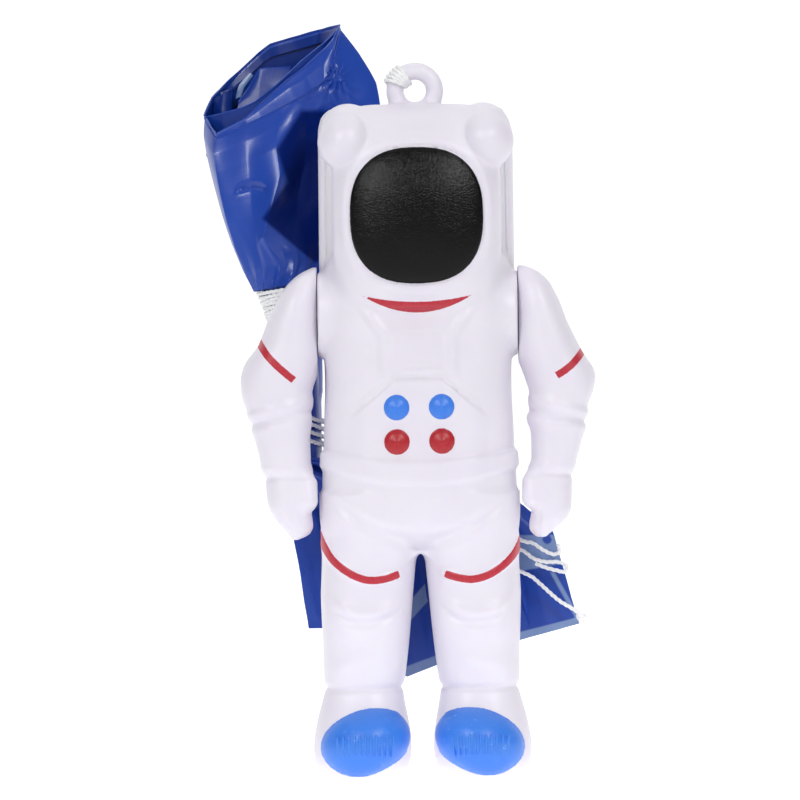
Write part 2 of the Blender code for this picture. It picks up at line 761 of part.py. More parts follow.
def winding(x, y, low, high, low_radius, high_radius, turns, start_angle, way):
    """Points of a thread wound down round the bundle from high to low."""
    steps = round(turns * turn_points)
    points = []
    for step in range(steps + 1):
        part = step / steps
        angle = math.radians(start_angle) + way * 2 * math.pi * turns * part
        z = high - thread_radius - (high - low - 2 * thread_radius) * part
        radius = high_radius + (low_radius - high_radius) * part + clearance + thread_radius
        points.append(Vector((x + radius * math.cos(angle), y + radius * math.sin(angle), z)))
    return points


def hitch():
    """Points of the turn of thread round the ring, from the back, through the hole, to the back."""
    radius = ring_tube_radius + clearance + thread_radius
    points = []
    for step in range(turn_points + 1):
        part = step / turn_points
        place = math.radians(hitch_start_angle + (hitch_end_angle - hitch_start_angle) * part)
        around = math.radians(270 - 360 * part)
        reach = ring_radius + radius * math.cos(around)
        points.append(Vector((reach * math.cos(place), -ring_setback - radius * math.sin(around),
                              ring_height + reach * math.sin(place))))
    return points


def smooth_route(route):
    """A smooth curve through hand-chosen points, read at even steps."""
    points = [Vector(point) for point in route]
    padded = [2 * points[0] - points[1], *points, 2 * points[-1] - points[-2]]
    fine = []
    for before, start, end, after in zip(padded, padded[1:], padded[2:], padded[3:]):
        for step in range(20):
            part = step / 20
            fine.append(0.5 * (2 * start + (end - before) * part
                               + (2 * before - 5 * start + 4 * end - after) * part ** 2
                               + (3 * start - before - 3 * end + after) * part ** 3))
    fine.append(points[-1])
    lengths = [0.0]
    for first, second in zip(fine, fine[1:]):
        lengths.append(lengths[-1] + (second - first).length)
    count = max(4, round(lengths[-1] / thread_spacing))
    spaced = []
    index = 0
    for step in range(count + 1):
        goal = lengths[-1] * step / count
        while index < len(fine) - 2 and lengths[index + 1] < goal:
            index += 1
        span = lengths[index + 1] - lengths[index]
        spaced.append(fine[index].lerp(fine[index + 1], (goal - lengths[index]) / span))
    return spaced


def thread(name, points, sides):
    """A tube of thread through its points, closed at both ends."""
    curve = bpy.data.curves.new(name, 'CURVE')
    curve.dimensions = '3D'
    curve.bevel_depth = thread_radius
    curve.bevel_resolution = sides
    curve.use_fill_caps = True
    spline = curve.splines.new('POLY')
    spline.points.add(len(points) - 1)
    for slot, point in zip(spline.points, points):
        slot.co = (*point, 1.0)
    curve.materials.append(thread_finish)
    made = bpy.data.objects.new(name, curve)
    bpy.context.collection.objects.link(made)
    made.parent = figure
    length = sum((second - first).length for first, second in zip(points, points[1:]))
    print(f"{name}: {length * 1000:.1f} mm of thread")
    return made


def report_gap(name, points):
    """Print the least gap between a wound thread's turns."""
    least = math.inf
    for index, point in enumerate(points):
        for other in points[index + turn_points // 2:]:
            least = min(least, (point - other).length)
    print(f"{name}: least gap to itself {(least - 2 * thread_radius) * 1000:.2f} mm")


# Routes of the free threads: across, back, up, as shares of the bundle's left, back and top
lead_shares = (
    (-0.0203, 0.0134, 0.9013), (-0.0203, 0.0496, 0.8886), (-0.0270, 0.1221, 0.8812),
    (-0.0405, 0.2481, 0.8798), (-0.0541, 0.3740, 0.8803), (-0.0743, 0.4466, 0.8719),
    (-0.0946, 0.4637, 0.8543), (-0.1351, 0.4637, 0.8016), (-0.2027, 0.4637, 0.7429),
    (-0.2905, 0.4637, 0.6891), (-0.3716, 0.4637, 0.6569), (-0.4088, 0.4637, 0.6422),
    (-0.4199, 0.4866, 0.6349),
)
link_shares = (
    (-0.6300, 0.6706, 0.5735), (-0.6520, 0.6670, 0.5680), (-0.6723, 0.6603, 0.5562),
    (-0.6959, 0.6565, 0.5357), (-0.7061, 0.6527, 0.5132), (-0.6959, 0.6527, 0.4907),
    (-0.6622, 0.6527, 0.4712),
)
upper_line_shares = (
    (-0.3378, 0.3206, 0.3695), (-0.2027, 0.3206, 0.3656), (0.0000, 0.3206, 0.3539),
    (0.2027, 0.3206, 0.3343), (0.3716, 0.3168, 0.3148), (0.4831, 0.3130, 0.3021),
    (0.5372, 0.3130, 0.2972), (0.5912, 0.3111, 0.2903), (0.6385, 0.3092, 0.2830),
    (0.6622, 0.3092, 0.2757),
)
middle_line_shares = (
    (-0.3547, 0.3206, 0.3500), (-0.2027, 0.3206, 0.3421), (0.0000, 0.3206, 0.3294),
    (0.2027, 0.3168, 0.3128), (0.3716, 0.3130, 0.2962), (0.4865, 0.3111, 0.2864),
    (0.5541, 0.3092, 0.2752), (0.6115, 0.3092, 0.2722), (0.6757, 0.3092, 0.2678),
)
lower_line_shares = (
    (-0.2703, 0.3206, 0.3265), (0.0000, 0.3206, 0.3118), (0.1689, 0.3168, 0.2972),
    (0.3378, 0.3092, 0.2727), (0.4932, 0.3092, 0.2542), (0.5541, 0.3092, 0.2463),
    (0.6047, 0.3092, 0.2331), (0.6554, 0.3092, 0.2229), (0.7196, 0.3092, 0.2102),
    (0.7466, 0.3111, 0.2063),
)
knot_shares = (0.7669, 0.3282, 0.1975)


def placed(share):
    """A point from its shares of the bundle's left, back and top."""
    return Vector((share[0] * bundle_left, share[1] * bundle_back, share[2] * bundle_top))


def build_threads():
    """The thread from the ring to the bundle, its two windings, and the slack lines."""
    end = 2 * thread_radius
    turn = hitch()
    lead = smooth_route([turn[-1], *(placed(share) for share in lead_shares)])
    thread("lead_line", straight_ends(turn[:-1] + lead, end), 2)
    neck = straight_ends(winding(neck_x, neck_y, neck_low, neck_high, neck_radius,
                                 neck_radius + neck_flare, neck_turns, 0, 1), end)
    thread("neck_winding", neck, 1)
    report_gap("neck_winding", neck)
    waist = winding(waist_x, waist_y, waist_low, waist_high, waist_radius, waist_radius, waist_turns, 90, -1)
    link = smooth_route([*(placed(share) for share in link_shares), waist[0]])
    waist = straight_ends(link[:-1] + waist, end)
    thread("waist_winding", waist, 1)
    report_gap("waist_winding", waist)
    lines = (("upper", upper_line_shares), ("middle", middle_line_shares), ("lower", lower_line_shares))
    for name, shares in lines:
        thread("loose_line_" + name, smooth_route([placed(share) for share in shares]), 2)
    knot = sphere(placed(knot_shares), (knot_radius,) * 3, 12, 8)
    mesh_object("corner_knot", knot, thread_finish, figure)


figure = None
body_finish = None
film_finish = None
thread_finish = None
guide_finish = None


def main():
    """Clear the scene and build every piece."""
    global figure, body_finish, film_finish, thread_finish, guide_finish
    for thing in list(bpy.data.objects):
        bpy.data.objects.remove(thing)
    body_finish = material("white_plastic", (0.83, 0.80, 0.86), 0.35)
    film_finish = material("blue_film", (0.01, 0.05, 0.55), 0.12)
    thread_finish = material("white_thread", (0.85, 0.85, 0.85), 0.8)
    guide_finish = material("guide", (0.5, 0.5, 0.5), 0.9)
    figure = bpy.data.objects.new("figure_middle", None)
    bpy.context.collection.objects.link(figure)
    figure.location = (figure_x, figure_y, 0.0)
    build_body()
    build_arm("arm_right", -1)
    build_arm("arm_left", 1)
    build_canopy()
    build_threads()


main()
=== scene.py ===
"""Studio scene of a packed toy parachute: a moulded astronaut figure with its film canopy rolled behind it.

Sizes are millimetres in the figure's own frame (x to its left arm, y backwards from the seam between the
two body halves, z up from the soles) until `world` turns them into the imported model's metres.
"""
import logging
import math
from dataclasses import dataclass, field
from enum import Enum
from itertools import product
from typing import Callable, Optional, Sequence

import bmesh
import bpy
import numpy as np
from mathutils import Matrix, Vector

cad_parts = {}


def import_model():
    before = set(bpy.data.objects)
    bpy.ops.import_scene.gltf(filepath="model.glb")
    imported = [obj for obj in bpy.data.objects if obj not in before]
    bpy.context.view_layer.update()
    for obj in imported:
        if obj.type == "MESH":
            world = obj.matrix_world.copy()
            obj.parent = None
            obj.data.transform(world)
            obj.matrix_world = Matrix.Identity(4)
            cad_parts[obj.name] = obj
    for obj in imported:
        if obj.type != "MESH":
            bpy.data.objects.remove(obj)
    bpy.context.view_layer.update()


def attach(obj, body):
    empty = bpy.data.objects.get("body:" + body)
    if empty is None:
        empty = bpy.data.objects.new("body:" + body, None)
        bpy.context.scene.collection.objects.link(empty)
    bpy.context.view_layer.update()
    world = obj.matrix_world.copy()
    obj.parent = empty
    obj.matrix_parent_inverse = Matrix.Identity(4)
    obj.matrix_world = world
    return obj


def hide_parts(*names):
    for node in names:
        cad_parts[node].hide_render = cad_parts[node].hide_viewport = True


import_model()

MM = 0.001
RING_MIDDLE = (0.0, -1.6, 91.4)
RING_RADIUS = 2.65
# A stored distance that is well away from every edge
FAR = 5.0
TINY = 1e-9
FIGURE_OFFSET = (2.85, -7.7, 0.0)
LOG = logging.getLogger("toy_parachute")

Table = Sequence[Sequence[float]]
Field = Callable[[np.ndarray], np.ndarray]


class Side(Enum):
    """Which side of the figure a piece is on, from the figure's own view."""

    RIGHT = -1
    LEFT = 1


def world(points: np.ndarray) -> np.ndarray:
    """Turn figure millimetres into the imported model's metres.

    Args:
        points: Array of points, one a row.

    Returns:
        The same points in metres.
    """
    return (np.asarray(points, float) + np.array(FIGURE_OFFSET)) * MM


def smooth_step(low: float, high: float, value: np.ndarray) -> np.ndarray:
    """Rise softly from 0 at low to 1 at high.

    Args:
        low: Value where the rise starts.
        high: Value where it ends.
        value: What to read.

    Returns:
        Shares from 0 to 1.
    """
    share = np.clip((value - low) / (high - low), 0.0, 1.0)
    return share * share * (3 - 2 * share)


def zigzag(value: np.ndarray) -> np.ndarray:
    """Straight flanks between -1 and 1, with a crest at each whole number."""
    return np.abs(value % 1 - 0.5) * 4 - 1


def ridge(value: np.ndarray, width: float) -> np.ndarray:
    """A soft ridge, 1 where the value is 0 and about a third one width away."""
    return np.exp(-(value / width) ** 2)


def oval(across: np.ndarray, deep: np.ndarray, power: float) -> np.ndarray:
    """How far out a place is on a squared oval, 1 on its edge; a power of 2 is an ellipse."""
    return (across ** power + deep ** power) ** (1 / power)


def read_table(rows: Table, places: np.ndarray) -> list[np.ndarray]:
    """Read a table between its rows.

    Args:
        rows: A place and the values there, in order of place.
        places: Where to read it.

    Returns:
        One array for each value.
    """
    table = np.array(rows, float)
    return [np.interp(places, table[:, 0], column) for column in table.T[1:]]


def unit(vectors: np.ndarray) -> np.ndarray:
    """The same directions with a length of 1."""
    return vectors / np.maximum(np.linalg.norm(vectors, axis=-1, keepdims=True), TINY)


def join(first: np.ndarray, second: np.ndarray, fillet: float) -> np.ndarray:
    """Union of two distance fields with a soft fillet between them.

    Args:
        first: Distances to one form.
        second: Distances to the other.
        fillet: Size of the fillet in millimetres.

    Returns:
        Distances to both together.
    """
    share = np.clip(0.5 + 0.5 * (second - first) / fillet, 0.0, 1.0)
    return second + (first - second) * share - fillet * share * (1 - share)


def ball(points: np.ndarray, centre: Sequence[float], radii: Sequence[float]) -> np.ndarray:
    """Distance to an ellipsoid.

    Args:
        points: Where to read it.
        centre: Its middle.
        radii: Its radius along each axis.

    Returns:
        Distances in millimetres.
    """
    scaled = (points - np.array(centre)) / np.array(radii)
    return (np.linalg.norm(scaled, axis=1) - 1) * min(radii)


def rod(points: np.ndarray, start: Sequence[float], end: Sequence[float], radius: float) -> np.ndarray:
    """Distance to a rod with round ends.

    Args:
        points: Where to read it.
        start: One end of its middle line.
        end: The other end.
        radius: Its radius.

    Returns:
        Distances in millimetres.
    """
    start_point = np.array(start)
    along = np.array(end) - start_point
    share = np.clip((points - start_point) @ along / (along @ along), 0.0, 1.0)
    return np.linalg.norm(points - start_point - share[:, None] * along, axis=1) - radius


def path_distance(points: np.ndarray, route: Table) -> np.ndarray:
    """Distance in the front view from points to a line of (x, z) corners.

    Args:
        points: Where to read it.
        route: Corners of the line.

    Returns:
        Distances in millimetres.
    """
    flat = points[:, (0, 2)]
    nearest = np.full(len(flat), np.inf)
    fine = flowing([(x, 0.0, z) for x, z in route], 0.6)[:, (0, 2)]
    for first, second in zip(fine, fine[1:]):
        start = first
        along = second - start
        share = np.clip((flat - start) @ along / (along @ along), 0.0, 1.0)
        nearest = np.minimum(nearest, np.linalg.norm(flat - start - share[:, None] * along, axis=1))
    return nearest


def stripe_edge(points: np.ndarray, route: Table, half: float) -> np.ndarray:
    """Distance to the edge of a painted stripe that is cut square at the end of its line.

    Args:
        points: Where to read it.
        route: Corners of its middle line in the front view.
        half: Half its width.

    Returns:
        Distances in millimetres, below 0 on the stripe.
    """
    before, last = np.array(route[-2]), np.array(route[-1])
    along = (last - before) / np.linalg.norm(last - before)
    return np.maximum(path_distance(points, route) - half, (points[:, (0, 2)] - last) @ along)


class Column:
    """An upright form whose section changes with height, read from a table and softened between rows."""

    def __init__(self, rows: Table, power: float, softness: float = 0.7) -> None:
        """Keep the table as an even, softened one.

        Args:
            rows: Height, middle, half width, front reach and back reach.
            power: How square the section is; 2 is an ellipse.
            softness: How far the rows run into each other, in millimetres.
        """
        table = np.array(sorted(rows), float)
        step = 0.1
        self.heights = np.arange(table[0, 0], table[-1, 0] + step, step)
        reach = int(3 * softness / step)
        weights = np.exp(-0.5 * (np.arange(-reach, reach + 1) * step / softness) ** 2)
        weights /= weights.sum()
        self.columns = []
        for number in range(1, 5):
            values = np.interp(self.heights, table[:, 0], table[:, number])
            padded = np.concatenate([
                2 * values[0] - values[reach:0:-1], values, 2 * values[-1] - values[-2:-reach - 2:-1]])
            self.columns.append(np.convolve(padded, weights, mode="valid"))
        self.power = power

    def distance(self, points: np.ndarray) -> np.ndarray:
        """Distance to the form.

        Args:
            points: Where to read it.

        Returns:
            Distances in millimetres.
        """
        z = points[:, 2]
        middle, half, front, back = (np.interp(z, self.heights, column) for column in self.columns)
        depth = np.maximum((front + back) / 2, 0.05)
        half = np.maximum(half, 0.05)
        across = np.abs(points[:, 0] - middle) / half
        deep = np.abs(points[:, 1] - (back - front) / 2) / depth
        around = (across ** self.power + deep ** self.power) ** (1 / self.power)
        side = (around - 1) * np.minimum(half, depth)
        return np.maximum(side, np.maximum(self.heights[0] - z, z - self.heights[-1]))


EDGES = [(a, b) for a, b in product(product((0, 1), repeat=3), repeat=2)
         if a < b and sum(abs(i - j) for i, j in zip(a, b)) == 1]


def skin(form: Field, low: Sequence[float], high: Sequence[float], step: float) -> tuple[np.ndarray, np.ndarray]:
    """Skin a distance field with even quads that lie exactly on it.

    Args:
        form: The distance field, in millimetres.
        low: Lowest corner of the box to look in.
        high: Highest corner.
        step: Size of a quad.

    Returns:
        Points and quads.
    """
    origin = np.array(low, float)
    counts = [int(math.ceil((high[axis] - low[axis]) / step)) + 1 for axis in range(3)]
    grid = np.stack(np.meshgrid(*[np.arange(count) for count in counts], indexing="ij"), axis=-1)
    values = np.empty(counts, np.float32)
    for layer in range(counts[0]):
        spots = origin + grid[layer].reshape(-1, 3) * step
        values[layer] = form(spots).reshape(counts[1], counts[2])
    inside = values < 0
    total = np.zeros([count - 1 for count in counts], np.int8)
    for corner in product((0, 1), repeat=3):
        window = tuple(slice(c, n - 1 + c) for c, n in zip(corner, counts))
        total += inside[window]
    mixed = (total > 0) & (total < 8)
    cells = np.argwhere(mixed)
    index = np.full(mixed.shape, -1, np.int64)
    index[mixed] = np.arange(len(cells))
    summed = np.zeros((len(cells), 3))
    hits = np.zeros(len(cells))
    for first, second in EDGES:
        a = cells + np.array(first)
        b = cells + np.array(second)
        at_a = values[tuple(a.T)]
        at_b = values[tuple(b.T)]
        crossing = (at_a < 0) != (at_b < 0)
        share = np.where(crossing, at_a / np.where(at_a == at_b, 1, at_a - at_b), 0)
        summed[crossing] += (a + share[:, None] * (b - a))[crossing]
        hits += crossing
    points = origin + step * summed / hits[:, None]
    quads = []
    for axis in range(3):
        others = [i for i in range(3) if i != axis]
        before = [slice(None)] * 3
        after = [slice(None)] * 3
        before[axis] = slice(0, counts[axis] - 1)
        after[axis] = slice(1, counts[axis])
        starts = np.argwhere(inside[tuple(before)] != inside[tuple(after)])
        keep = np.all((starts[:, others] > 0) & (starts[:, others] < np.array(counts)[others] - 1), axis=1)
        starts = starts[keep]
        ring = []
        for back_first, back_second in ((0, 0), (1, 0), (1, 1), (0, 1)):
            cell = starts.copy()
            cell[:, others[0]] -= back_first
            cell[:, others[1]] -= back_second
            ring.append(index[tuple(cell.T)])
        faces = np.stack(ring, axis=1)
        outward = inside[tuple(starts.T)]
        flip = outward if axis == 1 else ~outward
        faces[flip] = faces[flip][:, ::-1]
        quads.append(faces)
    for _ in range(3):
        points = settle(form, points, step)
    return points, np.concatenate(quads)


def slope(form: Field, points: np.ndarray, reach: float = 0.02) -> np.ndarray:
    """Gradient of a field at points.

    Args:
        form: The field.
        points: Where to read it.
        reach: Half the span it is read over.

    Returns:
        One gradient a point.
    """
    found = np.empty_like(points)
    for axis in range(3):
        shift = np.zeros(3)
        shift[axis] = reach
        found[:, axis] = (form(points + shift) - form(points - shift)) / (2 * reach)
    return found


def settle(form: Field, points: np.ndarray, step: float) -> np.ndarray:
    """Move points along the gradient on to the field's surface.

    Args:
        form: The distance field.
        points: Points near its surface.
        step: Quad size; a point moves less than half of it.

    Returns:
        The moved points.
    """
    gradient = slope(form, points)
    move = (form(points) / np.maximum((gradient ** 2).sum(axis=1), 0.05))[:, None] * gradient
    length = np.linalg.norm(move, axis=1, keepdims=True)
    return points - move * np.minimum(1, 0.45 * step / np.maximum(length, 1e-9))


def mesh_piece(name: str, points: np.ndarray, faces: Sequence[Sequence[int]], material: bpy.types.Material,
               shade_smooth: bool = True) -> bpy.types.Object:
    """Make an object at the origin from figure millimetres.

    Args:
        name: The piece's name.
        points: Its points.
        faces: Its faces.
        material: Its finish.
        shade_smooth: Whether its shading is smooth.

    Returns:
        The new object.
    """
    mesh = bpy.data.meshes.new(name)
    mesh.from_pydata(world(points).tolist(), [], np.asarray(faces).tolist() if len(faces) else [])
    mesh.update()
    if shade_smooth:
        mesh.shade_smooth()
    mesh.materials.append(material)
    made = bpy.data.objects.new(name, mesh)
    bpy.context.scene.collection.objects.link(made)
    return made


def dress(piece: bpy.types.Object, body: str = "figure", node: Optional[str] = None) -> None:
    """Hide the CAD node a piece replaces and fix the piece to the body that carries it.

    Args:
        piece: The piece.
        body: The body that carries it.
        node: The CAD node it replaces.
    """
    if node:
        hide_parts(node)
    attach(piece, body)


def close_flat(piece: bpy.types.Object, plane: float) -> None:
    """Merge the many small faces of a flat cut into a few large ones.

    Args:
        piece: The object to tidy.
        plane: The cut's y in figure millimetres.
    """
    grown = bmesh.new()
    grown.from_mesh(piece.data)
    level = float(world(np.array([[0.0, plane, 0.0]]))[0, 1])
    flat = [f for f in grown.faces if all(abs(v.co.y - level) < 0.004 * MM for v in f.verts)]
    bmesh.ops.dissolve_faces(grown, faces=flat, use_verts=False)
    large = [f for f in grown.faces if len(f.verts) > 4]
    bmesh.ops.triangulate(grown, faces=large)
    grown.to_mesh(piece.data)
    grown.free()


def store(piece: bpy.types.Object, name: str, values: np.ndarray) -> None:
    """Keep a number at each point of a piece for its material to read.

    Args:
        piece: The object.
        name: The attribute's name.
        values: One number a point.
    """
    attribute = piece.data.attributes.new(name, 'FLOAT', 'POINT')
    attribute.data.foreach_set("value", np.asarray(values, np.float32))


class Nodes:
    """A short hand for building a shader's nodes."""

    def __init__(self, name: str) -> None:
        """Start an empty material.

        Args:
            name: The material's name.
        """
        self.material = bpy.data.materials.new(name)
        self.material.use_nodes = True
        self.tree = self.material.node_tree
        self.shader = self.tree.nodes["Principled BSDF"]

    def add(self, kind: str, inputs: dict, **settings: object) -> bpy.types.Node:
        """Add a node.

        Args:
            kind: Its type name.
            inputs: Values or sockets for its inputs, by name or number.
            settings: Its other properties.

        Returns:
            The node.
        """
        node = self.tree.nodes.new(kind)
        for key, value in settings.items():
            setattr(node, key, value)
        for key, value in inputs.items():
            if isinstance(value, bpy.types.NodeSocket):
                self.tree.links.new(value, node.inputs[key])
            else:
                node.inputs[key].default_value = value
        return node

    def mask(self, attribute: str, softness: float, wobble: bpy.types.NodeSocket) -> bpy.types.NodeSocket:
        """A mask that is 1 where a stored distance is below 0.

        Args:
            attribute: Name of the stored distance.
            softness: Half width of the edge, in millimetres.
            wobble: Noise that is added to the distance.

        Returns:
            The mask.
        """
        read = self.add("ShaderNodeAttribute", {}, attribute_name=attribute)
        moved = self.add("ShaderNodeMath", {0: read.outputs["Fac"], 1: wobble}, operation='ADD')
        return self.add("ShaderNodeMapRange", {0: moved.outputs[0], 1: -softness, 2: softness, 3: 1.0, 4: 0.0},
                        interpolation_type='SMOOTHSTEP').outputs[0]

    def mix(self, share: object, first: object, second: object) -> bpy.types.NodeSocket:
        """Mix two colours.

        Args:
            share: How much of the second.
            first: A colour or a socket.
            second: A colour or a socket.

        Returns:
            The mixed colour.
        """
        node = self.add("ShaderNodeMix", {}, data_type='RGBA')
        for key, value in ((0, share), (6, first), (7, second)):
            if isinstance(value, bpy.types.NodeSocket):
                self.tree.links.new(value, node.inputs[key])
            else:
                node.inputs[key].default_value = value
        return node.outputs[2]

    def noise(self, scale: float, detail: float = 3.0, rough: float = 0.5) -> bpy.types.Node:
        """Noise on the object's own coordinates.

        Args:
            scale: Waves a metre.
            detail: Layers of finer noise.
            rough: How strong they are.

        Returns:
            The noise node.
        """
        place = self.add("ShaderNodeTexCoord", {})
        return self.add("ShaderNodeTexNoise", {
            "Vector": place.outputs["Object"], "Scale": scale, "Detail": detail, "Roughness": rough})

    def bump(self, height: bpy.types.NodeSocket, distance: float, strength: float = 1.0,
             under: Optional[bpy.types.NodeSocket] = None) -> bpy.types.NodeSocket:
        """Turn a height into a normal.

        Args:
            height: The height.
            distance: Its size in metres.
            strength: Its share.
            under: A normal it adds to.

        Returns:
            The normal.
        """
        inputs = {"Height": height, "Distance": distance, "Strength": strength}
        if under is not None:
            inputs["Normal"] = under
        return self.add("ShaderNodeBump", inputs).outputs[0]

    def set(self, **values: object) -> None:
        """Set or link the shader's own inputs, with _ for a space in a name.

        Args:
            values: Values or sockets by input name.
        """
        for key, value in values.items():
            socket = self.shader.inputs[key.replace("_", " ")]
            if isinstance(value, bpy.types.NodeSocket):
                self.tree.links.new(value, socket)
            else:
                socket.default_value = value


@dataclass(frozen=True)
class MouldedPlastic:
    """White soft plastic with sprayed paint where the stored distances say so."""

    white: tuple = (0.86, 0.83, 0.90, 1.0)
    shaded_white: tuple = (0.80, 0.76, 0.86, 1.0)
    red: tuple = (0.50, 0.025, 0.045, 1.0)
    deep_red: tuple = (0.45, 0.012, 0.020, 1.0)
    blue: tuple = (0.045, 0.22, 0.80, 1.0)
    black: tuple = (0.001, 0.001, 0.001, 1.0)
    roughness: float = 0.38
    black_roughness: float = 0.2
    shine: float = 0.5
    black_shine: float = 0.28
    edge_softness: float = 0.035

    def build(self, name: str) -> bpy.types.Material:
        """Build the material.

        Args:
            name: The material's name.

        Returns:
            The material.
        """
        made = Nodes(name)
        broad = made.noise(160.0, 2.0)
        fine = made.noise(2600.0, 2.0)
        grain = made.noise(6500.0, 1.0)
        wobble = made.add("ShaderNodeMath", {0: fine.outputs["Fac"], 1: 0.5}, operation='SUBTRACT')
        wobble = made.add("ShaderNodeMath", {0: wobble.outputs[0], 1: 0.09}, operation='MULTIPLY').outputs[0]
        mottled = made.mix(broad.outputs["Fac"], self.white, self.shaded_white)
        worn = made.add("ShaderNodeMapRange", {0: fine.outputs["Fac"], 1: 0.35, 2: 0.7, 3: 0.0, 4: 0.35})
        red = made.mix(worn.outputs[0], self.red, (0.62, 0.06, 0.09, 1.0))
        deep = made.mix(worn.outputs[0], self.deep_red, (0.52, 0.035, 0.045, 1.0))
        scuff = made.noise(900.0, 5.0, 0.75)
        scuffed = made.add("ShaderNodeMapRange", {0: scuff.outputs["Fac"], 1: 0.62, 2: 0.68, 3: 0.0, 4: 0.55})
        blue = made.mix(worn.outputs[0], self.blue, (0.07, 0.27, 0.86, 1.0))
        blue = made.mix(scuffed.outputs[0], blue, (0.30, 0.52, 0.93, 1.0))
        colour = mottled
        blacks = made.mask("black_edge", self.edge_softness, wobble)
        blues = made.mask("blue_edge", self.edge_softness, wobble)
        for share, paint in ((made.mask("red_edge", self.edge_softness, wobble), red),
                             (made.mask("button_edge", self.edge_softness, wobble), deep),
                             (blues, blue), (blacks, self.black)):
            colour = made.mix(share, colour, paint)
        rough = made.add("ShaderNodeMapRange", {
            0: blacks, 1: 0.0, 2: 1.0, 3: self.roughness, 4: self.black_roughness})
        speckle = made.add("ShaderNodeMapRange", {0: blacks, 1: 0.0, 2: 1.0, 3: 0.06, 4: 1.8})
        height = made.add("ShaderNodeMath", {0: grain.outputs["Fac"], 1: speckle.outputs[0]}, operation='MULTIPLY')
        shine = made.add("ShaderNodeMapRange", {0: blacks, 1: 0.0, 2: 1.0, 3: self.shine, 4: self.black_shine})
        made.set(Base_Color=colour, Roughness=rough.outputs[0], Specular_IOR_Level=shine.outputs[0],
                 Normal=made.bump(height.outputs[0], 0.00003, 1.0))
        made.set(Subsurface_Weight=0.25, Subsurface_Radius=(0.0012, 0.0008, 0.0014), Subsurface_Scale=1.0)
        return made.material


@dataclass(frozen=True)
class GlossFilm:
    """Thin glossy blue film; where a single ply shows, it is paler. It has painted shade beside the pack and in the
    mouth, and painted highlights on a skirt streak and the curled strip.
    """

    deep: tuple = (0.008, 0.045, 0.33, 1.0)
    # Painted shade: the colour of film that lies in shade
    painted_shade: tuple = (0.0008, 0.012, 0.13, 1.0)
    bright: tuple = (0.014, 0.072, 0.44, 1.0)
    # Pale for a single ply, and also the colour of painted highlights
    pale: tuple = (0.20, 0.30, 0.54, 1.0)
    roughness: float = 0.3

    def build(self, name: str) -> bpy.types.Material:
        """Build the material.

        Args:
            name: The material's name.

        Returns:
            The material.
        """
        made = Nodes(name)
        broad = made.noise(90.0, 3.0)
        crinkle = made.noise(420.0, 3.0, 0.6)
        grain = made.noise(3000.0, 2.0)
        still = made.add("ShaderNodeMath", {0: grain.outputs["Fac"], 1: 0.0}, operation='MULTIPLY').outputs[0]
        colour = made.mix(broad.outputs["Fac"], self.deep, self.bright)
        # Painted shade: the film is darker, and shines less, where it lies in shade beside the helmet and inside the
        # mouth
        painted_shade = made.mask("painted_shade_edge", 0.5, still)
        colour = made.mix(painted_shade, colour, self.painted_shade)
        # Pale where a single ply shows, and a painted highlight on the skirt's streak and the curled strip
        colour = made.mix(made.mask("pale_and_highlight_edge", 0.15, still), colour, self.pale)
        first = made.bump(crinkle.outputs["Fac"], 0.0001, 0.25)
        made.set(Base_Color=colour, Roughness=self.roughness,
                 Normal=made.bump(grain.outputs["Fac"], 0.00001, 0.5, first))
        shine = made.add("ShaderNodeMapRange", {0: painted_shade, 1: 0.0, 2: 1.0, 3: 0.46, 4: 0.1})
        coat = made.add("ShaderNodeMapRange", {0: painted_shade, 1: 0.0, 2: 1.0, 3: 0.08, 4: 0.02})
        made.set(Coat_Weight=coat.outputs[0], Coat_Roughness=0.07, Specular_IOR_Level=shine.outputs[0])
        return made.material


@dataclass(frozen=True)
class TwistedThread:
    """White spun thread with fine fibres and a painted shade in the hollows between them."""

    colour: tuple = (0.98, 0.98, 0.98, 1.0)
    hollow_shade: tuple = (0.90, 0.91, 0.94, 1.0)

    def build(self, name: str) -> bpy.types.Material:
        """Build the material.

        Args:
            name: The material's name.

        Returns:
            The material.
        """
        made = Nodes(name)
        fibre = made.noise(5200.0, 4.0, 0.7)
        # Painted shade: where the fibre bump is low, the thread is a little darker
        tint = made.add("ShaderNodeMapRange", {0: fibre.outputs["Fac"], 1: 0.3, 2: 0.6, 3: 0.0, 4: 1.0})
        made.set(Base_Color=made.mix(tint.outputs[0], self.hollow_shade, self.colour), Roughness=0.75,
                 Normal=made.bump(fibre.outputs["Fac"], 0.00010, 0.5))
        made.set(Sheen_Weight=0.3, Sheen_Roughness=0.5)
        return made.material


@dataclass(frozen=True)
class StudioPaper:
    """The pale seamless paper under and behind the toy."""

    colour: tuple = (0.80, 0.80, 0.805, 1.0)
    glow: float = 0.67
    glow_start: float = -0.085
    glow_full: float = -0.042

    def build(self, name: str) -> bpy.types.Material:
        """Build the material.

        Args:
            name: The material's name.

        Returns:
            The material.
        """
        made = Nodes(name)
        tooth = made.noise(900.0, 2.0)
        shade = made.mix(tooth.outputs["Fac"], self.colour, (0.78, 0.78, 0.79, 1.0))
        place = made.add("ShaderNodeTexCoord", {})
        parts = made.add("ShaderNodeSeparateXYZ", {0: place.outputs["Object"]})
        rise = made.add("ShaderNodeMapRange", {
            0: parts.outputs["Y"], 1: self.glow_start, 2: self.glow_full, 3: 0.0, 4: self.glow},
            interpolation_type='SMOOTHSTEP')
        made.set(Base_Color=shade, Roughness=0.9, Emission_Color=(1.0, 1.0, 1.0, 1.0),
                 Emission_Strength=rise.outputs[0])
        return made.material


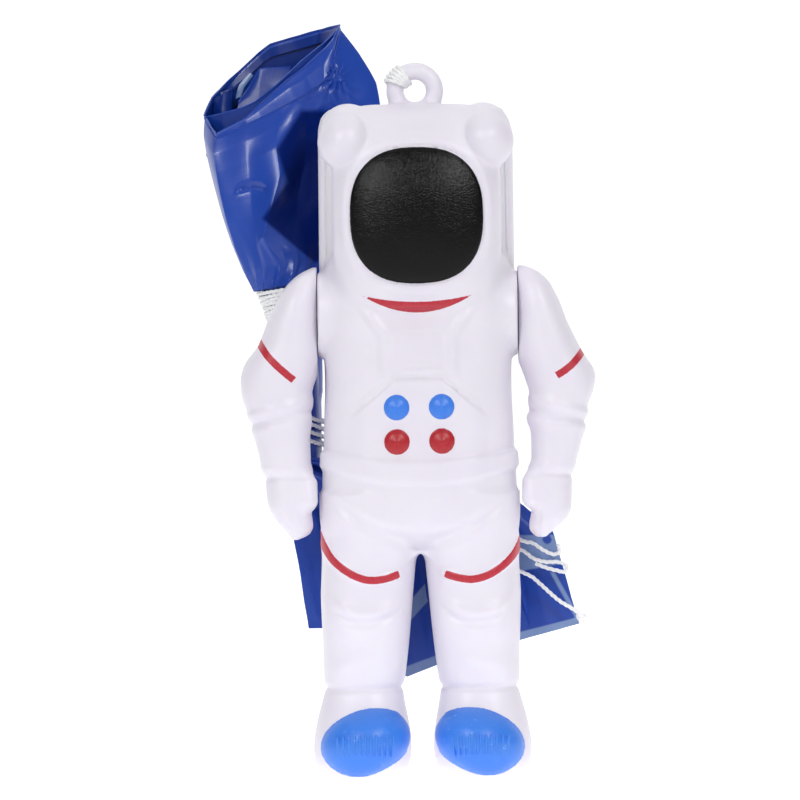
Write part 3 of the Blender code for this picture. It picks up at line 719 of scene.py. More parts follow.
@dataclass
class Body:
    """The moulded body in two halves: helmet, pack, torso, legs, boots and ring, with its paint."""

    plastic: bpy.types.Material
    quad: float = 0.27
    back_quad: float = 0.32
    seam: float = 0.04
    half_width: float = 13.2
    visor_middle: float = 74.4
    visor_half: tuple = (8.85, 9.05)
    visor_power: float = 2.5
    ring_tube: float = 1.15
    button_radius: float = 1.72
    buttons: tuple = ((-2.95, 49.0), (3.0, 49.05), (-2.95, 44.45), (3.0, 44.5))
    torso_rows: Table = (
        (30.0, 0, 6.5, 3.4, 3.6), (31.0, 0, 9.5, 5.6, 5.4), (32.5, 0, 12.2, 7.0, 6.8), (34.5, 0, 13.0, 7.6, 7.2),
        (37.5, 0, 13.1, 7.9, 7.5), (40.5, 0, 13.0, 8.05, 7.6), (43.5, 0, 12.8, 8.05, 7.45),
        (47.0, 0, 12.7, 8.3, 7.4), (52.0, 0, 12.3, 8.5, 7.3), (54.0, 0, 12.35, 8.5, 7.3),
        (58.0, 0, 12.75, 8.3, 7.3), (62.0, 0, 13.0, 7.9, 7.3), (65.0, 0, 13.0, 7.3, 7.2),
        (68.0, 0, 12.6, 6.4, 6.8), (70.0, 0, 11.2, 5.0, 6.0),
    )
    helmet_rows: Table = (
        (60.5, 0, 7.0, 7.2, 2.0), (62.0, 0, 9.0, 8.3, 2.0), (65.0, 0, 10.6, 9.2, 2.0),
        (70.0, 0, 11.25, 9.6, 2.0), (76.0, 0, 11.35, 9.6, 2.0), (82.0, 0, 11.25, 9.3, 2.0),
        (85.5, 0, 10.8, 8.6, 2.0), (88.0, 0, 9.7, 7.0, 2.0), (89.1, 0, 8.2, 5.2, 2.0), (89.5, 0, 7.0, 3.8, 2.0),
    )
    pack_rows: Table = (
        (43.9, 0, 11.5, 0.6, 10.1), (44.6, 0, 12.3, 1.0, 11.1), (46.0, 0, 12.6, 1.0, 11.5),
        (62.5, 0, 12.6, 1.0, 11.5), (66.0, 0, 13.1, 1.0, 11.5), (68.0, 0, 13.2, 1.0, 11.5),
        (86.6, 0, 13.15, 1.0, 11.5), (88.4, 0, 12.7, 0.7, 11.1), (89.3, 0, 11.6, 0.0, 10.2),
    )
    leg_rows: Table = (
        (0.0, 8.05, 5.3, 6.4, 6.2), (0.7, 8.05, 6.0, 7.4, 6.7), (1.8, 8.05, 6.45, 8.0, 6.9), (3.4, 8.05, 6.6, 8.2, 7.0),
        (5.5, 8.0, 6.45, 7.9, 6.9), (8.0, 7.95, 5.95, 7.0, 6.4), (10.0, 7.85, 5.45, 6.0, 5.9),
        (11.4, 7.75, 5.2, 5.55, 5.7), (12.6, 7.7, 5.45, 5.8, 5.8), (17.0, 7.45, 5.75, 6.3, 6.1),
        (20.5, 7.35, 6.0, 6.9, 6.3), (24.0, 7.25, 6.2, 6.8, 6.5), (28.0, 6.95, 6.3, 6.9, 6.8),
        (31.0, 6.75, 6.5, 7.1, 6.9), (34.5, 6.6, 6.35, 7.4, 7.0), (37.0, 6.5, 6.3, 7.4, 7.0),
    )
    toe_middle: tuple = (7.6, -4.5, 4.55)
    toe_radii: tuple = (5.9, 5.8, 4.75)
    toe_lean: float = 0.2
    rib_count: int = 11
    rib_pitch: float = 0.72
    rib_radius: float = 0.25
    rib_inset: float = 0.12
    rib_length: float = 1.5
    rib_height: float = 4.5
    thigh_stripes: tuple = (
        ((-13.6, 32.2), (-13.05, 30.9), (-11.8, 28.9), (-10.1, 27.45), (-8.35, 26.5), (-6.75, 26.1),
         (-4.8, 26.25), (-2.85, 26.85)),
        ((13.8, 31.8), (13.35, 30.7), (12.4, 29.2), (10.9, 27.8), (8.9, 26.6), (6.8, 26.1), (4.95, 26.33),
         (3.2, 26.85)),
    )
    stripe_half: float = 0.5

    def __post_init__(self) -> None:
        """Prepare the upright forms."""
        self.torso = Column(self.torso_rows, 2.9)
        self.helmet = Column(self.helmet_rows, 2.8)
        self.pack = Column(self.pack_rows, 6.0, 0.4)
        self.legs = []
        for side in Side:
            rows = [(z, side.value * middle, half, front, back) for z, middle, half, front, back in self.leg_rows]
            self.legs.append(Column(rows, 2.4, 0.6))

    def toe(self, points: np.ndarray, side: Side) -> np.ndarray:
        """Distance to one toe cap.

        Args:
            points: Where to read it.
            side: Which foot.

        Returns:
            Distances in millimetres.
        """
        x, y, z = self.toe_middle
        leaning = points + np.outer(points[:, 2] - z, (side.value * self.toe_lean, 0.0, 0.0))
        return ball(leaning, (side.value * x, y, z), self.toe_radii)

    def visor_round(self, points: np.ndarray) -> np.ndarray:
        """How far out a point is on the visor, 1 at its edge.

        Args:
            points: Where to read it.

        Returns:
            Shares.
        """
        across = np.abs(points[:, 0]) / self.visor_half[0]
        up = np.abs(points[:, 2] - self.visor_middle) / self.visor_half[1]
        return oval(across, up, self.visor_power)

    def chest_relief(self, points: np.ndarray) -> np.ndarray:
        """How far the chest's straps, panel, box and belt stand proud.

        Args:
            points: Where to read it.

        Returns:
            Heights in millimetres.
        """
        x, y, z = points.T
        wide = np.abs(x)
        front = smooth_step(1.0, -3.5, y)
        top = 52.9 - np.maximum(wide - 3.1, 0) * 0.86
        in_box = smooth_step(-0.35, 0.45, top - z) * smooth_step(9.6, 6.8, wide)
        rim = np.abs(top + 0.55 - z)
        strap = smooth_step(0.75, 0.35, rim) * smooth_step(8.4, 6.6, wide)
        groove = smooth_step(0.3, 0.0, np.abs(top - 0.12 - z)) * smooth_step(7.6, 6.0, wide)
        panel = smooth_step(0.0, 0.6, np.minimum(3.9 - wide, np.minimum(z - 53.6, 58.6 - z)) + 0.3)
        lean = 4.35 + np.maximum(z - 58.4, 0) * 0.72
        side_strap = smooth_step(1.35, 0.1, np.abs(wide - lean))
        side_strap = side_strap * smooth_step(52.8, 54.0, z) * smooth_step(63.0, 61.0, z)
        yoke = smooth_step(0.9, 0.1, np.abs(z - 59.1)) * smooth_step(4.6, 3.6, wide)
        upper = 41.75 + 0.8 * (x / 9.8) ** 2
        lower = 38.85 + 1.15 * (x / 9.6) ** 2
        belt = smooth_step(-0.6, 0.35, np.minimum(upper - z, z - lower))
        raised = 0.42 * in_box + 0.16 * strap - 0.22 * groove + 0.16 * panel + 0.3 * side_strap + 0.1 * yoke
        return front * (raised + 0.36 * belt)

    def leg_relief(self, points: np.ndarray) -> np.ndarray:
        """Folds at knee and ankle and the raised thigh stripes.

        Args:
            points: Where to read it.

        Returns:
            Heights in millimetres.
        """
        x, y, z = points.T
        front = smooth_step(1.5, -2.5, y)
        raised = np.zeros(len(x))
        for side, route in zip(Side, self.thigh_stripes):
            raised += 0.22 * smooth_step(0.9, 0.3, path_distance(points, route)) * front
            off = side.value * x - 7.3
            knee = z - (20.75 + 0.085 * off ** 2)
            raised += (0.42 * np.exp(-(knee - 0.7) ** 2 / 0.9) - 0.38 * np.exp(-(knee + 0.35) ** 2 / 0.35)) \
                * smooth_step(5.2, 2.6, np.abs(off)) * front
            shin = z - (15.4 - 0.28 * off)
            raised += 0.26 * np.exp(-shin ** 2 / 1.6) * smooth_step(4.5, 2.0, np.abs(off - 0.8)) * front
        ankle = np.exp(-((z - 11.55) / 0.42) ** 2)
        return raised - 0.34 * ankle

    def groin_relief(self, points: np.ndarray) -> np.ndarray:
        """The folds that run from the hips down to where the legs part.

        Args:
            points: Where to read it.

        Returns:
            Heights in millimetres.
        """
        x, y, z = points.T
        wide = np.abs(x)
        fold = z - (31.4 + 0.056 * np.maximum(wide - 0.6, 0) ** 1.9)
        fade = smooth_step(0.3, 2.2, wide) * smooth_step(12.5, 8.5, wide) * smooth_step(1.5, -2.5, y)
        return fade * (0.2 * np.exp(-((fold - 1.4) / 1.2) ** 2) - 0.36 * np.exp(-(fold / 0.75) ** 2)
                       + 0.22 * np.exp(-((fold + 1.7) / 1.4) ** 2))

    def distance(self, points: np.ndarray) -> np.ndarray:
        """Distance to the whole body.

        Args:
            points: Where to read it.

        Returns:
            Distances in millimetres.
        """
        x, y, z = points.T
        body = self.torso.distance(points) - self.chest_relief(points)
        shoulder = np.maximum(np.hypot(y, z - 61.5) - 5.4, np.abs(x) - self.half_width)
        body = join(body, shoulder, 1.2)
        legs = join(self.legs[0].distance(points), self.legs[1].distance(points), 0.25)
        caps = np.minimum(self.toe(points, Side.RIGHT), self.toe(points, Side.LEFT))
        legs = join(legs - self.leg_relief(points), caps, 0.12)
        body = join(body, legs, 1.6) - self.groin_relief(points)
        helmet = self.helmet.distance(points)
        bulge = 8.95 + 1.85 * np.maximum(1 - self.visor_round(points) ** 2, 0) ** 0.75
        edge = (self.visor_round(points) - 1) * self.visor_half[0]
        rim = np.exp(-((edge - 0.9) / 0.9) ** 2) * smooth_step(-4.0, -8.0, y)
        helmet -= 0.35 * rim
        recess = np.maximum(edge - 0.12, y + 8.75)
        helmet = np.maximum(helmet, -recess)
        visor = np.maximum(edge, -(y + bulge))
        visor = np.maximum(visor, y + 5.0)
        helmet = join(helmet, visor, 0.08)
        for side in (-1, 1):
            front = ball(points, (side * 9.3, -5.5, 84.4), (3.75, 4.3, 3.85))
            rear = ball(points, (side * 9.0, -1.9, 86.0), (3.8, 4.0, 3.75))
            helmet = join(helmet, join(front, rear, 0.35), 0.35)
        pack = self.pack.distance(points)
        pack = np.maximum(pack, (x - 11.7) * 0.915 + (z - 89.3) * 0.403)
        body = join(body, helmet, 0.55)
        body = join(body, pack, 0.4)
        collar = np.hypot(np.hypot(x / 1.38, (y + 2.3)) - 6.05, z - 62.9) - 0.85
        body = join(body, collar, 0.7)
        centre = np.array(RING_MIDDLE)
        flat = np.hypot(x - centre[0], z - centre[2]) - RING_RADIUS
        ring = np.hypot(flat, y - centre[1]) - self.ring_tube
        body = join(body, ring, 0.7)
        for place_x, place_z in self.buttons:
            face = self.chest_face(place_x, place_z)
            cap = ball(points, (place_x, face + 0.25, place_z), (self.button_radius, 0.95, self.button_radius))
            nib = ball(points, (place_x, face - 0.62, place_z), (0.34, 0.24, 0.34))
            body = join(body, join(cap, nib, 0.15), 0.06)
        return np.maximum(body, -z)

    def chest_face(self, x: float, z: float) -> float:
        """The y of the chest's front at a place, without its buttons.

        Args:
            x: Across.
            z: Up.

        Returns:
            The y.
        """
        reach = np.linspace(-11.0, -5.0, 241)
        spots = np.stack([np.full_like(reach, x), reach, np.full_like(reach, z)], axis=1)
        inside = self.torso.distance(spots) - self.chest_relief(spots) < 0
        return float(reach[np.argmax(inside)])

    def paint(self, piece: bpy.types.Object, points: np.ndarray) -> None:
        """Store the distances that the paint's edges follow.

        Args:
            piece: The skinned half.
            points: Its points in figure millimetres.
        """
        x, y, z = points.T
        away = smooth_step(-1.5, 0.5, y) * 5
        upper = 62.95 + 0.9 * (x / 7.3) ** 2
        lower = 61.55 + 2.3 * (x / 7.3) ** 2
        collar = np.maximum(np.maximum(z - upper, lower - z), y + 3.5)
        stripes = np.minimum(*[stripe_edge(points, route, self.stripe_half) for route in self.thigh_stripes])
        store(piece, "red_edge", np.minimum(collar, np.maximum(stripes, away - 1)))
        blue = np.minimum(self.toe(points, Side.RIGHT), self.toe(points, Side.LEFT)) - 0.06
        blue = np.maximum(blue, y + 4.6)
        red = np.full(len(x), 5.0)
        for number, (place_x, place_z) in enumerate(self.buttons):
            button = np.maximum(np.hypot(x - place_x, z - place_z) - self.button_radius + 0.02, y + 4)
            if number < 2:
                blue = np.minimum(blue, button)
            else:
                red = np.minimum(red, button)
        store(piece, "blue_edge", blue)
        store(piece, "button_edge", red)
        visor = np.maximum((self.visor_round(points) - 1) * self.visor_half[0] + 0.03, y + 6)
        store(piece, "black_edge", visor)

    def ribs(self) -> None:
        """Raise the fine upright ribs on both toe caps, with a geometry tree that sets thin rods in a row."""
        tree = bpy.data.node_groups.new("toe_ribs", 'GeometryNodeTree')
        tree.interface.new_socket(name="Geometry", in_out='INPUT', socket_type='NodeSocketGeometry')
        radius_input = tree_input(tree, "Rib radius", 'NodeSocketFloat', self.rib_radius * MM)
        length_input = tree_input(tree, "Rib length", 'NodeSocketFloat', self.rib_length * MM)
        tree.interface.new_socket(name="Geometry", in_out='OUTPUT', socket_type='NodeSocketGeometry')
        new, link = tree.nodes.new, tree.links.new
        start, end = new("NodeGroupInput"), new("NodeGroupOutput")
        rib = new("GeometryNodeMeshUVSphere")
        rib.inputs["Segments"].default_value = 10
        rib.inputs["Rings"].default_value = 9
        link(start.outputs["Rib radius"], rib.inputs["Radius"])
        stretch = new("ShaderNodeMath")
        stretch.operation = 'DIVIDE'
        link(start.outputs["Rib length"], stretch.inputs[0])
        link(start.outputs["Rib radius"], stretch.inputs[1])
        scale = new("ShaderNodeCombineXYZ")
        scale.inputs[0].default_value = 1.0
        scale.inputs[1].default_value = 1.0
        link(stretch.outputs[0], scale.inputs[2])
        lean = new("GeometryNodeInputNamedAttribute")
        lean.data_type = 'FLOAT_VECTOR'
        lean.inputs["Name"].default_value = "rib_turn"
        place = new("GeometryNodeInstanceOnPoints")
        link(start.outputs["Geometry"], place.inputs["Points"])
        link(rib.outputs["Mesh"], place.inputs["Instance"])
        link(lean.outputs[0], place.inputs["Rotation"])
        link(scale.outputs[0], place.inputs["Scale"])
        real = new("GeometryNodeRealizeInstances")
        link(place.outputs[0], real.inputs[0])
        finish = new("GeometryNodeSetMaterial")
        finish.inputs["Material"].default_value = self.plastic
        link(real.outputs[0], finish.inputs["Geometry"])
        link(finish.outputs[0], end.inputs[0])
        for side in Side:
            spots, turns = [], []
            for number in range(self.rib_count):
                across = (number - (self.rib_count - 1) / 2) * self.rib_pitch
                up = self.rib_height - 0.03 * across ** 2
                x = side.value * self.toe_middle[0] + across
                radii = self.toe_radii
                off_x, off_z = across / radii[0], (up - self.toe_middle[2]) / radii[2]
                depth = math.sqrt(max(1 - off_x ** 2 - off_z ** 2, 0.01))
                spots.append((x, self.toe_middle[1] - radii[1] * depth + self.rib_inset, up))
                slope_x = math.atan2(off_z / radii[2], depth / radii[1])
                turns.append((-slope_x, 0.0, math.atan2(off_x / radii[0], depth / radii[1])))
            mesh = bpy.data.meshes.new("rib_places")
            mesh.from_pydata(world(np.array(spots)).tolist(), [], [])
            kept = mesh.attributes.new("rib_turn", 'FLOAT_VECTOR', 'POINT')
            kept.data.foreach_set("vector", np.array(turns, np.float32).ravel())
            holder = bpy.data.objects.new("rib_places", mesh)
            bpy.context.scene.collection.objects.link(holder)
            step = holder.modifiers.new("ribs", 'NODES')
            step.node_group = tree
            step[radius_input] = self.rib_radius * MM
            step[length_input] = self.rib_length * MM
            piece = bake(holder, f"toe_ribs_{side.name.lower()}")
            piece.data.shade_smooth()
            count = len(piece.data.vertices)
            for name, value in (("red_edge", 5.0), ("blue_edge", -5.0), ("button_edge", 5.0), ("black_edge", 5.0)):
                store(piece, name, np.full(count, value))
            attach(piece, "figure")
            LOG.info("%s: %d ribs", piece.name, self.rib_count)

    def half(self, name: str, sign: int, step: float, node: str) -> bpy.types.Object:
        """Skin one half of the body and dress it.

        Args:
            name: The piece's name.
            sign: -1 for the front, 1 for the back.
            step: Quad size.
            node: The CAD node it stands for.

        Returns:
            The half.
        """
        def form(points: np.ndarray) -> np.ndarray:
            return np.maximum(self.distance(points), self.seam - sign * points[:, 1])

        reach = (-12.2, 0.4) if sign < 0 else (-0.4, 12.6)
        points, quads = skin(form, (-15.6, reach[0], -0.9), (15.6, reach[1], 96.2), step)
        piece = mesh_piece(name, points, quads, self.plastic)
        self.paint(piece, points)
        close_flat(piece, sign * self.seam)
        dress(piece, "figure", node)
        LOG.info("%s: %d faces", name, len(piece.data.polygons))
        return piece

    def build(self) -> None:
        """Build both halves."""
        self.half("body_front_moulding", -1, self.quad, "body_front")
        self.half("body_back_moulding", 1, self.back_quad, "body_back")
        self.ribs()


@dataclass
class Arm:
    """One turning arm with sleeve, elbow folds, cuff and mitten hand."""

    plastic: bpy.types.Material
    side: Side
    rows: Table
    stripe: Table
    quad: float = 0.27
    inner_plane: float = 13.5
    power: float = 2.3
    thumb: tuple = (((15.0, -4.1, 38.9), (14.9, -4.6, 36.7)), 1.3)

    def __post_init__(self) -> None:
        """Prepare the sleeve: rows hold height, inner x, outer x, front reach and back reach."""
        table = []
        for z, inner, outer, front, back in self.rows:
            table.append((z, self.side.value * (inner + outer) / 2, (outer - inner) / 2, front, back))
        self.sleeve = Column(table, self.power, 0.45)

    def distance(self, points: np.ndarray) -> np.ndarray:
        """Distance to the arm.

        Args:
            points: Where to read it.

        Returns:
            Distances in millimetres.
        """
        x, y, z = points.T
        wide = self.side.value * x
        folds = 0.2 * np.exp(-((z - 49.2 + 0.25 * (wide - 18)) / 0.7) ** 2)
        folds -= 0.26 * np.exp(-((z - 47.8 + 0.2 * (wide - 18)) / 0.5) ** 2)
        folds += 0.16 * np.exp(-((z - 46.4 + 0.1 * (wide - 18)) / 0.8) ** 2)
        folds -= 0.24 * np.exp(-((z - 39.75) / 0.3) ** 2)
        folds += 0.14 * np.exp(-((z - 40.9) / 0.6) ** 2)
        finger = np.abs(((wide - 15.9) / 1.35) % 1 - 0.5)
        folds -= 0.12 * smooth_step(0.4, 0.5, finger) * smooth_step(35.4, 33.6, z) * smooth_step(14.0, 15.0, wide)
        arm = self.sleeve.distance(points) - folds
        (start, end), radius = self.thumb
        start = (self.side.value * start[0], *start[1:])
        end = (self.side.value * end[0], *end[1:])
        arm = join(arm, rod(points, start, end, radius), 1.3)
        return np.maximum(arm, self.inner_plane - wide)

    def build(self) -> bpy.types.Object:
        """Skin the arm, paint its stripe and fix it to its joint."""
        word = self.side.name.lower()
        ends = sorted((self.side.value * 12.9, self.side.value * 24.9))
        points, quads = skin(self.distance, (ends[0], -8.4, 30.6), (ends[1], 6.9, 69.0), self.quad)
        piece = mesh_piece(f"arm_{word}_moulding", points, quads, self.plastic)
        red = stripe_edge(points, self.stripe, 0.48)
        along = smooth_step(0.5, 2.5, points[:, 1]) * 5
        store(piece, "red_edge", np.maximum(red, along - 1))
        for other in ("blue_edge", "button_edge", "black_edge"):
            store(piece, other, np.full(len(points), 5.0))
        dress(piece, f"{word}_arm", f"arm_{word}")
        LOG.info("%s: %d faces", piece.name, len(piece.data.polygons))
        return piece


def tree_input(tree: bpy.types.GeometryNodeTree, name: str, kind: str, value: object = None) -> str:
    """Add a named input to a geometry tree.

    Args:
        tree: The tree.
        name: The input's name.
        kind: Its socket type.
        value: Its value at first.

    Returns:
        The socket's identifier.
    """
    socket = tree.interface.new_socket(name=name, in_out='INPUT', socket_type=kind)
    if value is not None:
        socket.default_value = value
    return socket.identifier


def bake(source: bpy.types.Object, name: str) -> bpy.types.Object:
    """Turn an object with a geometry tree into a plain mesh at the origin.

    Args:
        source: The object; it is removed.
        name: The new piece's name.

    Returns:
        The plain mesh.
    """
    bpy.context.view_layer.update()
    graph = bpy.context.evaluated_depsgraph_get()
    mesh = bpy.data.meshes.new_from_object(source.evaluated_get(graph), depsgraph=graph)
    mesh.name = name
    bpy.data.objects.remove(source)
    made = bpy.data.objects.new(name, mesh)
    bpy.context.scene.collection.objects.link(made)
    return made


class Spinner:
    """Spins thread of three twisted strands along a route, with a geometry tree."""

    def __init__(self, material: bpy.types.Material, radius: float, twist: float) -> None:
        """Build the tree.

        Args:
            material: The thread's finish.
            radius: Its radius in metres.
            twist: Turns a metre.
        """
        self.material = material
        self.radius = radius
        tree = bpy.data.node_groups.new("spun_thread", 'GeometryNodeTree')
        tree.interface.new_socket(name="Geometry", in_out='INPUT', socket_type='NodeSocketGeometry')
        self.inputs = {
            "Radius": tree_input(tree, "Radius", 'NodeSocketFloat', radius),
            "Twist": tree_input(tree, "Twist", 'NodeSocketFloat', twist),
            "Lobe": tree_input(tree, "Lobe", 'NodeSocketFloat', 0.16),
        }
        tree.interface.new_socket(name="Geometry", in_out='OUTPUT', socket_type='NodeSocketGeometry')
        self.tree = tree
        new = tree.nodes.new
        link = tree.links.new
        start = new("NodeGroupInput")
        end = new("NodeGroupOutput")
        along = new("GeometryNodeSplineParameter")
        turn = self.maths('MULTIPLY', along.outputs["Length"], start.outputs["Twist"])
        turn = self.maths('MULTIPLY', turn, 2 * math.pi)
        tilt = new("GeometryNodeSetCurveTilt")
        link(start.outputs["Geometry"], tilt.inputs["Curve"])
        link(turn, tilt.inputs["Tilt"])
        circle = new("GeometryNodeCurvePrimitiveCircle")
        circle.inputs["Resolution"].default_value = 15
        link(start.outputs["Radius"], circle.inputs["Radius"])
        place = new("GeometryNodeInputPosition")
        parts = new("ShaderNodeSeparateXYZ")
        link(place.outputs[0], parts.inputs[0])
        angle = self.maths('ARCTAN2', parts.outputs["Y"], parts.outputs["X"])
        wave = self.maths('COSINE', self.maths('MULTIPLY', angle, 3.0), None)
        swell = self.maths('MULTIPLY', wave, start.outputs["Lobe"])
        scale = new("ShaderNodeVectorMath")
        scale.operation = 'SCALE'
        link(place.outputs[0], scale.inputs[0])
        link(swell, scale.inputs["Scale"])
        moved = new("GeometryNodeSetPosition")
        link(circle.outputs["Curve"], moved.inputs["Geometry"])
        link(scale.outputs[0], moved.inputs["Offset"])
        tube = new("GeometryNodeCurveToMesh")
        tube.inputs["Fill Caps"].default_value = True
        link(tilt.outputs[0], tube.inputs["Curve"])
        link(moved.outputs[0], tube.inputs["Profile Curve"])
        real = new("GeometryNodeRealizeInstances")
        link(tube.outputs[0], real.inputs[0])
        finish = new("GeometryNodeSetMaterial")
        finish.inputs["Material"].default_value = material
        link(real.outputs[0], finish.inputs["Geometry"])
        link(finish.outputs[0], end.inputs[0])

    def maths(self, operation: str, first: object, second: object) -> bpy.types.NodeSocket:
        """Add a maths node to the tree.

        Args:
            operation: What it does.
            first: A socket or a number.
            second: A socket, a number or None.

        Returns:
            Its result.
        """
        node = self.tree.nodes.new("ShaderNodeMath")
        node.operation = operation
        for slot, value in enumerate((first, second)):
            if isinstance(value, bpy.types.NodeSocket):
                self.tree.links.new(value, node.inputs[slot])
            elif value is not None:
                node.inputs[slot].default_value = value
        return node.outputs[0]

    def spin(self, name: str, route: np.ndarray) -> bpy.types.Object:
        """Spin one thread.

        Args:
            name: The piece's name.
            route: Points in figure millimetres.

        Returns:
            The thread as a mesh.
        """
        curve = bpy.data.curves.new(name + "_route", 'CURVE')
        curve.dimensions = '3D'
        spline = curve.splines.new('POLY')
        points = world(route)
        spline.points.add(len(points) - 1)
        for slot, point in zip(spline.points, points):
            slot.co = (*point, 1.0)
        holder = bpy.data.objects.new(name + "_route", curve)
        bpy.context.scene.collection.objects.link(holder)
        step = holder.modifiers.new("spin", 'NODES')
        step.node_group = self.tree
        step[self.inputs["Radius"]] = self.radius
        made = bake(holder, name)
        made.data.shade_smooth()
        return made


def through(before: np.ndarray, start: np.ndarray, end: np.ndarray, after: np.ndarray,
            share: np.ndarray) -> np.ndarray:
    """A smooth curve from one point to the next that heeds their neighbours.

    Args:
        before: The point before the start.
        start: Where the curve starts.
        end: Where it ends.
        after: The point after the end.
        share: How far along to read it, from 0 to 1.

    Returns:
        The points read.
    """
    return 0.5 * (2 * start + (end - before) * share
                  + (2 * before - 5 * start + 4 * end - after) * share ** 2
                  + (3 * start - before - 3 * end + after) * share ** 3)


def flowing(route: Table, spacing: float) -> np.ndarray:
    """A smooth line through points, read at even steps.

    Args:
        route: Points to pass through.
        spacing: Distance between steps.

    Returns:
        The line's points.
    """
    corners = np.array(route, float)
    padded = np.vstack([2 * corners[0] - corners[1], corners, 2 * corners[-1] - corners[-2]])
    shares = np.linspace(0, 1, 24, endpoint=False)[:, None]
    spans = [through(*four, shares) for four in zip(padded, padded[1:], padded[2:], padded[3:])]
    line = np.vstack([*spans, corners[-1:]])
    lengths = np.concatenate([[0], np.cumsum(np.linalg.norm(np.diff(line, axis=0), axis=1))])
    goals = np.linspace(0, lengths[-1], max(3, int(round(lengths[-1] / spacing))) + 1)
    return np.stack([np.interp(goals, lengths, line[:, axis]) for axis in range(3)], axis=1)


@dataclass(frozen=True)
class Winding:
    """Thread wound down round the bundle; tilt is how far its turns rise towards the figure."""

    middle: tuple
    high: float
    low: float
    high_radius: float
    low_radius: float
    turns: float
    start_angle: float
    way: int
    tilt: float

    def points(self) -> np.ndarray:
        """Points of the winding.

        Returns:
            The points, from the first turn to the last.
        """
        share = np.linspace(0, 1, int(self.turns * 120) + 1)
        angle = math.radians(self.start_angle) + self.way * 2 * math.pi * self.turns * share
        radius = self.high_radius + (self.low_radius - self.high_radius) * (1 - (1 - share) ** 2.4)
        lay = self.tilt * np.cos(angle) + 0.07 * np.sin(2.3 * angle) + 0.05 * np.sin(0.7 * angle)
        return np.stack([self.middle[0] + radius * np.cos(angle), self.middle[1] + radius * np.sin(angle),
                         self.high + (self.low - self.high) * share + lay], axis=1)


